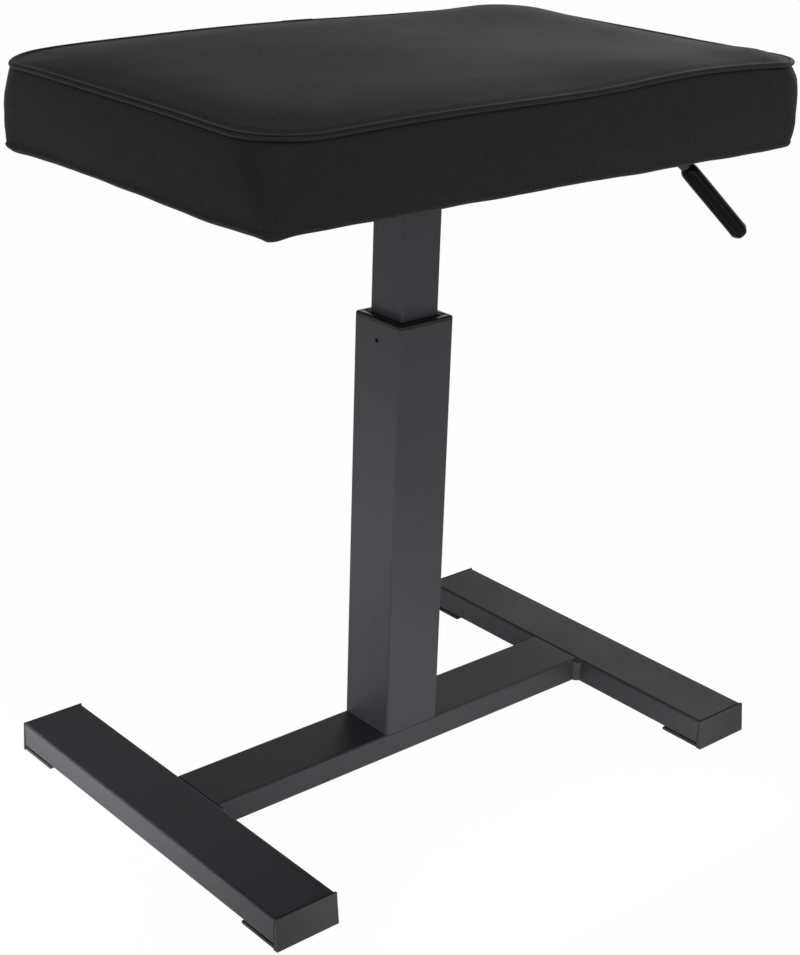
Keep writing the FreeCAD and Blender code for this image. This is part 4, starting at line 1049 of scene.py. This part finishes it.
def makePiping():
    length, depth, corner = seat["seamOutline"]
    out = piping["out"]
    path = outlineRing(length + 2 * out, depth + 2 * out, corner + out)
    path += outwardAt() * wanderAt(path, pipingPulls)[:, None]
    path = np.column_stack((path, seat["seam"] + wanderAt(path, seamWander)))
    count = len(path)
    ahead = unitRows(np.roll(path, -1, axis=0) - np.roll(path, 1, axis=0))
    outward = unitRows(np.cross(ahead, (0, 0, 1)))
    upward = np.cross(outward, ahead)
    chance = np.random.default_rng(7)
    thriceRound = np.tile(chance.normal(0, 1, count), 3)  # so that the lumps meet at the ends
    lumps = np.convolve(thriceRound, np.ones(5) / 5, "same")[count:2 * count]
    radius = piping["radius"] * (1 + piping["lump"] * lumps)
    x, half, added = piping["lap"]
    radius += added * ((np.abs(path[:, 0] - x) < half) & (path[:, 1] > 0))
    points = []
    for step in range(count):
        for side in range(piping["sides"]):
            angle = 2 * math.pi * side / piping["sides"]
            across = outward[step] * math.cos(angle) + upward[step] * math.sin(angle)
            points.append(path[step] + radius[step] * across)
    form = points, stripFaces(count, piping["sides"], closedRows=True)
    piece = makePiece("seat_welt", [form], "seat", "black_vinyl", finish=weltVinyl)
    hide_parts("seat_piping")


makeCushion()
makePiping()
print("cushion and piping made")


# the cloth under the board, millimetres
underCloth = {
    "outer": (428.0, 260.0, 8.0),  # length, depth and corner
    "window": (140.0, 100.0, 6.0),
    "level": 464.85,
    "rows": 36,
    "hemFrom": 0.955,  # share of the way out at which it goes down over the hem
    "hemRun": 0.03,
    "hemDrop": 1.15,
    "slack": 0.25,
    "slackWaves": 5,
    "thickness": 0.3,
}


def makeUnderCloth():
    rows, outer, window = (underCloth[key] for key in ("rows", "outer", "window"))
    points = []
    for row in range(rows + 1):
        share = row / rows
        sizes = [a + (b - a) * share for a, b in zip(window, outer)]
        overHem = np.clip((share - underCloth["hemFrom"]) / underCloth["hemRun"], 0, 1)
        wave = math.sin(share * math.pi * underCloth["slackWaves"]) * math.sin(share * math.pi)
        level = underCloth["level"] - underCloth["hemDrop"] * overHem - underCloth["slack"] * wave
        points.append(atHeight(outlineRing(*sizes), level))
    form = np.vstack(points), stripFaces(rows + 1, len(points[0]))
    piece = makePiece("seat_under_cloth", [form], "seat", "dust_cloth")
    thick = piece.modifiers.new("thickness", "SOLIDIFY")
    thick.thickness = underCloth["thickness"] / 1000
    thick.offset = 0
    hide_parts("dust_cover")


# staples through the hem, millimetres and degrees
staples = {
    "outline": (420.0, 252.0, 9.0), "level": 463.25, "spacing": 37.0,
    "crown": 10.0, "leg": 1.6, "bend": 0.5, "wire": (1.1, 0.55, 0.2),
    "tilt": 7.0, "stray": 1.2,  # how unevenly they were shot
    "counts": {"deep": 1, "long": 1, "corner": 2},
}


def makeStaples():
    chance = np.random.default_rng(11)
    outline = outlineRing(*staples["outline"])
    runs = np.linalg.norm(np.roll(outline, -1, axis=0) - outline, axis=1)
    walked = np.concatenate(([0], np.cumsum(runs)))[:-1]
    half = staples["crown"] / 2
    up = Vector((0, 0, staples["leg"]))
    forms = []
    for number in range(int(runs.sum() / staples["spacing"])):
        index = int(np.argmin(np.abs(walked - (number + 0.5) * staples["spacing"])))
        tangent = outline[(index + 1) % len(outline)] - outline[index - 1]
        tilt = math.radians(chance.normal(0, staples["tilt"]))
        angle = math.atan2(tangent[1], tangent[0]) + tilt
        ahead = Vector((math.cos(angle), math.sin(angle), 0))
        side = ahead.cross((0, 0, 1))
        middle = Vector((*outline[index], staples["level"]))
        middle += side * chance.normal(0, staples["stray"])
        first, last = middle - ahead * half, middle + ahead * half
        path = bentPath([first + up, first, last, last + up], staples["bend"], 3)
        forms.append(sweep(path, [staples["wire"]] * len(path), staples["counts"], side))
    makePiece("seat_staples", forms, "seat", "zinc_steel")


makeUnderCloth()
makeStaples()
print("under cloth and staples made")


# release lever: a bar pressed flat at its inner end, bent, with a moulded grip pushed on
lever = {
    "nose": (-4.0, 0.0, 451.0),
    "shoulder": (64.0, 0.0, 451.0),
    "elbow": (186.1, -82.4, 448.5),
    "along": (0.5675, -0.3828, -0.7290),  # direction of the grip
    "bendRadius": 14.0,
    "rodEnd": 53.0,
    "round": 8.4,
    "flat": (5.0, 10.0, 1.0),  # width, height and corner of the pressed end
    "flatTo": 44.0,
    "roundFrom": 59.0,
    "noseCut": (3.0, 1.2, 6.0),  # length of the nose, and what it loses in width and height
    "flatSteps": (0, 0.35, 1.0, 2.0, 3.0, 10, 20, 30, 40, 48),
    "gripFrom": 7.8,
}
gripRings = [
    # distance along, radius, facets
    (0.6, 4.25, 0.0), (0.0, 4.4, 0.0), (0.05, 4.75, 0.0), (0.5, 5.25, 0.0), (1.4, 5.75, 0.0),
    (2.7, 6.15, 0.0), (4.4, 6.42, 0.0), (7.0, 6.52, 0.0), (20.0, 6.5, 0.0), (40.0, 6.45, 0.0),
    (58.0, 6.4, 0.0), (61.5, 6.35, 0.25), (63.2, 6.15, 0.8), (64.2, 5.95, 1.0), (67.2, 4.45, 1.0),
    (67.9, 3.8, 1.0), (68.0, 3.3, 1.0), (68.0, 2.6, 0.6), (67.3, 2.2, 0.3),
]


def makeLever():
    nose, elbow, along = (Vector(lever[key]) for key in ("nose", "elbow", "along"))
    corners = [nose, lever["shoulder"], elbow, elbow + along * lever["rodEnd"]]
    path = [nose + Vector((step, 0, 0)) for step in lever["flatSteps"]]
    path += [Vector((x, 0, nose.z)) for x in range(46, 60, 2)]  # where flat eases into round
    path += bentPath(corners, lever["bendRadius"])[1:]
    width, height, corner = lever["flat"]
    full = lever["round"]
    noseLength, narrower, lower = lever["noseCut"]
    sections = []
    for point in path:
        cut = max(0.0, 1 - (point.x - nose.x) / noseLength)
        share = (point.x - lever["flatTo"]) / (lever["roundFrom"] - lever["flatTo"])
        share = min(1.0, max(0.0, share))
        share = share * share * (3 - 2 * share)
        sections.append((
            width + (full - width) * share - narrower * cut ** 2,
            height + (full - height) * share - lower * cut,
            corner + (full / 2 - corner) * share - 0.01,
        ))
    bar = makePiece("release_bar", [sweep(path, sections)], "lever", "frame_paint", crease=50.0)
    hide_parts("lever_rod")
    form = turned(gripRings, elbow + along * lever["gripFrom"], along, facets=8)
    grip = makePiece("release_grip", [form], "lever", "grip_plastic", crease=24.0)
    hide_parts("lever_grip")


makeLever()
print("lever made")


# weld beads, millimetres
beads = {
    "frame": {"corner": (181.0, 25.0), "from": 3.4, "frontTo": 22.7, "rearTo": 18.5, "leg": 5.5},
    "mast": {"half": 17.25, "run": 32.0, "top": 461.6, "leg": 3.9},
    "pitch": 1.7, "ripple": 0.06, "uneven": 0.035, "spacing": 0.3,
    "taper": 0.5, "crescent": 0.5, "root": 0.25,
    "bow": (0.45, 0.55),  # its face lies between a chord and an arc
}


# a rippled fillet along a corner line; the two sides are directions along the joined walls
def weldBead(start, end, firstSide, secondSide, leg, chance):
    start, end, first, second = (np.array(way) for way in (start, end, firstSide, secondSide))
    length = np.linalg.norm(end - start)
    rows = int(length / beads["spacing"]) + 1
    drift = np.convolve(chance.normal(0, 1, rows + 12), np.ones(9) / 9, "same")[6:6 + rows]
    points = []
    for row in range(rows):
        walked = length * row / (rows - 1)
        fromEnd = min(walked, length - walked) / (leg * beads["taper"])
        taper = math.sqrt(max(0.05, 1 - max(0.0, 1 - fromEnd) ** 2))
        place = start + (end - start) * row / (rows - 1)
        points.append(place - (first + second) * beads["root"])
        for step in range(11):
            bend = math.pi / 2 * step / 10
            crescent = (walked + beads["crescent"] * math.sin(2 * bend)) / beads["pitch"]
            ripple = beads["ripple"] * abs(math.sin(math.pi * crescent)) * math.sin(2 * bend)
            reach = leg * (taper + ripple + beads["uneven"] * drift[row])
            chord = np.array((1 - step / 10, step / 10))
            arc = np.array((math.cos(bend), math.sin(bend)))
            shape = chord * beads["bow"][0] + arc * beads["bow"][1]
            points.append(place + first * shape[0] * reach + second * shape[1] * reach)
    return closedForm(points, 12)


def makeWelds():
    chance = np.random.default_rng(5)
    frameBeads, mastBeads = beads["frame"], beads["mast"]
    x, y = frameBeads["corner"]
    forms = []
    for sideX, sideY in quarters:
        corner = (sideX * x, sideY * y)
        top = frameBeads["frontTo" if sideY < 0 else "rearTo"]
        forms.append(weldBead(
            (*corner, frameBeads["from"]), (*corner, top),
            (-sideX, 0, 0), (0, sideY, 0), frameBeads["leg"], chance,
        ))
    piece = makePiece("frame_welds", forms, "base", "frame_paint", crease=60.0)
    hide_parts("frame_weld_beads")
    half, run, top = (mastBeads[key] for key in ("half", "run", "top"))
    forms = []
    for outX, outY in ((-1, 0), (0, 1), (0, -1)):
        middle = np.array((outX * half, outY * half, top))
        along = np.array((outY, -outX, 0)) * run / 2
        forms.append(weldBead(
            middle - along, middle + along, (outX, outY, 0), (0, 0, -1), mastBeads["leg"], chance,
        ))
    piece = makePiece("mast_welds", forms, "seat", "frame_paint", crease=60.0)
    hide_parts("mast_weld_beads")


# screws in the seat plate and the push-on clips of the lever's pin, millimetres
fasteners = {
    "screwPlaces": (65.0, 45.0), "screwFloor": 461.6, "screwTop": 477.4,
    "point": 1.2,  # length of the screw's pointed end
    "pointRadii": (1.6, 2.7),
    "halfPitch": 0.5,
    "threadRadii": (2.5, 2.95),  # between the ridges and on them
    "pin": (34.0, 451.0), "clipInner": 5.55,
}
screwRings = [
    (0.0, 3.0, 0.0), (0.0, 6.4, 0.0), (-0.55, 6.4, 0.0), (-0.95, 6.0, 0.0), (-1.0, 5.0, 1.0),
    (-2.7, 5.0, 1.0), (-3.2, 4.6, 0.55), (-3.3, 4.1, 0.0), (-3.0, 3.4, 0.0), (-2.9, 1.0, 0.0),
]
clipRings = [
    (0.0, 3.05, 0.0), (0.0, 4.0, 0.0), (0.15, 5.3, 0.0), (0.0, 5.5, 0.0), (0.5, 5.6, 0.0),
    (0.75, 5.35, 0.0), (0.55, 4.6, 0.0), (0.7, 4.0, 0.0), (1.25, 3.5, 0.0), (1.3, 3.1, 0.0),
]


def makeFasteners():
    x, y = fasteners["screwPlaces"]
    rise = fasteners["screwTop"] - fasteners["screwFloor"]
    point, halfPitch = fasteners["point"], fasteners["halfPitch"]
    tip, neck = fasteners["pointRadii"]
    shank = [(rise, tip, 0.0), (rise - point, neck, 0.0)]
    shank += [
        (rise - point - step * halfPitch, fasteners["threadRadii"][step % 2], 0.0)
        for step in range(1, int((rise - 2 * point) / halfPitch))
    ]
    forms = [
        turned(shank + screwRings, (sideX * x, sideY * y, fasteners["screwFloor"]), (0, 0, 1))
        for sideX, sideY in quarters
    ]
    piece = makePiece("plate_screws", forms, "seat", "zinc_steel")
    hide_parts("seat_screws")
    x, height = fasteners["pin"]
    forms = [
        turned(clipRings, (x, side * fasteners["clipInner"], height), (0, side, 0), bored=True)
        for side in (-1, 1)
    ]
    piece = makePiece("pin_clips", forms, "seat", "zinc_steel")
    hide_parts("pivot_clips")


makeWelds()
makeFasteners()
print("welds and fasteners made")


# the guide in the column's mouth: a sleeve, a rounded flange and a low collar round the mast
bushingRings = [
    # side, corner, height
    (46.6, 1.0, 303.2), (46.6, 1.0, 342.8), (49.3, 2.2, 343.05), (50.0, 2.4, 343.4),
    (50.0, 2.4, 344.7), (49.7, 2.4, 345.3), (49.0, 2.3, 345.75), (47.9, 2.1, 345.95),
    (40.6, 1.6, 345.95), (39.9, 1.5, 345.5), (38.3, 1.4, 345.5), (37.7, 1.3, 346.0),
    (36.9, 1.2, 346.25), (35.7, 1.0, 346.15), (35.3, 0.9, 345.6), (35.3, 0.9, 303.2),
]


def makeBushing():
    rows = [
        atHeight(outlineRing(side, side, corner, smallCounts), height)
        for side, corner, height in bushingRings
    ]
    form = np.vstack(rows), stripFaces(len(rows), len(rows[0]), closedRows=True)
    piece = makePiece("column_guide", [form], "base", "black_plastic", crease=50.0)
    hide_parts("column_bushing")


makeBushing()
print("column guide made")


# moulded caps of the feet: a flared end plate, a groove next to the tube, and a tongue under it
footCap = {
    "footX": 206.0, "tubeEnd": 156.0, "tubeTop": 23.0, "tubeFloor": 3.0,
    "halfTop": 25.1, "halfFoot": 25.45, "lip": 0.12,
    "outTop": 2.3, "outFoot": 4.7, "rearShare": 0.5, "groove": 0.8, "grooveDeep": 1.1,
    "neck": (25.0, 1.0),  # half width and floor, without the groove
    "tongue": (24.7, 34.8, 2.2),  # half width, length and thickness
    "riser": (19.0, 33.5),
    "plug": (22.7, 17.0, 5.2, 20.8),  # half width, length, floor and top
    "plugTaper": (0.6, 0.5),
    "overlap": {"neck": 0.5, "plug": 0.4, "tongue": 0.6, "riser": 0.3, "riserFloor": 0.6},
    "rounding": 0.55,
}


# a block between a near and a far rectangle: half width, floor and top at each distance
def block(near, far):
    points = []
    for distance, half, low, high in (near, far):
        points += [(-half, distance, low), (half, distance, low)]
        points += [(half, distance, high), (-half, distance, high)]
    return closedForm(points, 4)


def unite(forms):
    parts = []
    for points, faces in forms:
        part = linkScratch("part", points, faces)
        form = bmesh.new()
        form.from_mesh(part.data)
        bmesh.ops.recalc_face_normals(form, faces=form.faces)
        form.to_mesh(part.data)
        form.free()
        parts.append(part)
    for part in parts[1:]:
        joined = parts[0].modifiers.new("join", "BOOLEAN")
        joined.operation = "UNION"
        joined.solver = "EXACT"
        joined.object = part
    shown = parts[0].evaluated_get(bpy.context.evaluated_depsgraph_get())
    mesh = bpy.data.meshes.new_from_object(shown)
    for part in parts:
        bpy.data.objects.remove(part)
    points = np.array([tuple(vertex.co) for vertex in mesh.vertices]) * 1000
    return points, [tuple(face.vertices) for face in mesh.polygons]


# the blocks of one cap, with the tube's end at 0 and the plate on the side below it
def capBlocks():
    top, floor, groove = (footCap[key] for key in ("tubeTop", "tubeFloor", "groove"))
    halfTop, halfFoot = footCap["halfTop"], footCap["halfFoot"]
    plateTop, neckTop = top + footCap["lip"], top - footCap["grooveDeep"]
    plate = []
    for outFoot, outTop in ((groove, groove), (footCap["outFoot"], footCap["outTop"])):
        plate += [(-halfFoot, -outFoot, 0), (halfFoot, -outFoot, 0)]
        plate += [(halfTop, -outTop, plateTop), (-halfTop, -outTop, plateTop)]
    overlap = footCap["overlap"]
    neckHalf, neckFloor = footCap["neck"]
    neck = (neckHalf - footCap["grooveDeep"], neckFloor, neckTop)
    half, length, thick = footCap["tongue"]
    tongue = (half, 0.0, thick)
    riserHalf, riserLength = footCap["riser"]
    riser = (riserHalf, thick - overlap["riserFloor"], floor)
    plugHalf, plugLength, plugLow, plugHigh = footCap["plug"]
    narrower, lower = footCap["plugTaper"]
    plugEnd = (plugHalf - narrower, plugLow + lower, plugHigh - lower)
    return [
        closedForm(plate, 4),
        block((-groove - overlap["neck"], *neck), (0.0, *neck)),
        block((-overlap["plug"], plugHalf, plugLow, plugHigh), (plugLength, *plugEnd)),
        block((-groove - overlap["tongue"], *tongue), (length, *tongue)),
        block((-overlap["riser"], *riser), (riserLength, *riser)),
    ]


def makeFootCaps():
    points, faces = unite(capBlocks())
    groove = footCap["groove"]
    for sideX, sideY in quarters:
        side = "left" if sideX < 0 else "right"
        end = "front" if sideY < 0 else "rear"
        placed = points.copy()
        if end == "rear":  # the rear plates are thinner
            plate = placed[:, 1] < -groove
            placed[plate, 1] = -groove + (placed[plate, 1] + groove) * footCap["rearShare"]
            placed[:, :2] *= -1
        placed[:, :2] += (sideX * footCap["footX"], sideY * footCap["tubeEnd"])
        piece = makePiece(f"{end}_{side}_end_cap", [(placed, faces)], "base", "cap_rubber")
        rounding = piece.modifiers.new("rounding", "BEVEL")
        rounding.width = footCap["rounding"] / 1000
        rounding.segments = 3
        rounding.limit_method = "ANGLE"
        rounding.harden_normals = True
        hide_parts(f"{end}_{side}_foot_cap")


makeFootCaps()
print("foot caps made")


# floor, backdrop and light
stage = {
    "floorSize": 30.0,
    "floorColour": (0.92, 0.92, 0.92, 1),
    "floorGlow": 0.985,
    "floorGloss": 0.4,  # the same where a reflection looks
    "ambient": 0.72,
    "zenith": 0.05,  # how bright the backdrop is overhead and at the left, as a share
    "leftShare": 0.5,
    "suns": [
        # rotation in degrees, strength, angle of its disc
        ((70, 0, -70), 0.8, 50),
        ((72, 0, -18), 0.95, 60),
        ((60, 0, 112), 0.25, 44),
    ],
    "strips": [
        # low lamps near the floor: place, turn to the bench in degrees, power, length
        ((-0.4, 0.13, 0.035), -90, 1.5, 0.36),
        ((0.0, -0.27, 0.035), 0, 0.55, 0.3),
        ((0.1, -0.9, 0.08), 0, 1.6, 0.9),
    ],
    "stripHeight": 0.03,
}


# 1 where the camera or a clear piece looks, and 1 where a reflection looks
def raySwitches(tree):
    rays = put(tree, "ShaderNodeLightPath").outputs
    seen = mathNode(tree, "MAXIMUM", rays["Is Camera Ray"], rays["Is Transmission Ray"])
    return seen, rays["Is Glossy Ray"]


def makeBackdrop():
    world = bpy.data.worlds.new("backdrop")
    scene.world = world
    world.use_nodes = True
    tree = world.node_tree
    background = tree.nodes["Background"]
    direction = put(tree, "ShaderNodeSeparateXYZ")
    wire(tree, (put(tree, "ShaderNodeTexCoord").outputs["Generated"], direction.inputs[0]))
    upward = mapRange(tree, direction.outputs["Z"], 0.1, 0.7, 1.0, stage["zenith"])
    rightward = mapRange(tree, direction.outputs["X"], 0.5, 0.78, stage["leftShare"], 1.0)
    seen, mirrored = raySwitches(tree)
    level = mapRange(tree, mirrored, 0.0, 1.0, stage["ambient"], 1.0)
    around = mathNode(tree, "MULTIPLY", mathNode(tree, "MULTIPLY", upward, rightward), level)
    wire(tree, (mathNode(tree, "MAXIMUM", around, seen), background.inputs["Strength"]))
    background.inputs["Color"].default_value = (1, 1, 1, 1)


def makeFloor():
    half = stage["floorSize"] / 2
    corners = [(-half, -half, 0), (half, -half, 0), (half, half, 0), (-half, half, 0)]
    mesh = bpy.data.meshes.new("floor")
    mesh.from_pydata(corners, [], [(0, 1, 2, 3)])
    floor = bpy.data.objects.new("floor", mesh)
    scene.collection.objects.link(floor)
    material = bpy.data.materials.new("floor")
    material.use_nodes = True
    tree = material.node_tree
    tree.nodes.remove(tree.nodes["Principled BSDF"])
    diffuse = put(tree, "ShaderNodeBsdfDiffuse")
    diffuse.inputs["Color"].default_value = stage["floorColour"]
    glow = put(tree, "ShaderNodeEmission")
    mix = put(tree, "ShaderNodeMixShader")
    seen, mirrored = raySwitches(tree)
    share = mathNode(
        tree, "MAXIMUM",
        mathNode(tree, "MULTIPLY", seen, stage["floorGlow"]),
        mathNode(tree, "MULTIPLY", mirrored, stage["floorGloss"]),
    )
    wire(
        tree,
        (share, mix.inputs[0]),
        (diffuse.outputs[0], mix.inputs[1]),
        (glow.outputs[0], mix.inputs[2]),
        (mix.outputs[0], tree.nodes["Material Output"].inputs["Surface"]),
    )
    mesh.materials.append(material)


def placeLamp(light, turn, place=(0, 0, 0)):
    lamp = bpy.data.objects.new(light.name, light)
    lamp.location = place
    lamp.rotation_euler = [math.radians(value) for value in turn]
    scene.collection.objects.link(lamp)
    return lamp


def makeLamps():
    for number, (turn, strength, disc) in enumerate(stage["suns"]):
        light = bpy.data.lights.new(f"softLight{number}", "SUN")
        light.energy = strength
        light.angle = math.radians(disc)
        placeLamp(light, turn)
    for number, (place, turn, power, length) in enumerate(stage["strips"]):
        light = bpy.data.lights.new(f"strip{number}", "AREA")
        light.shape = "RECTANGLE"
        light.size, light.size_y = length, stage["stripHeight"]
        light.energy = power
        lamp = placeLamp(light, (90, 0, turn), place)
        lamp.visible_camera = lamp.visible_glossy = False


makeBackdrop()
makeFloor()
makeLamps()
print("stage made")
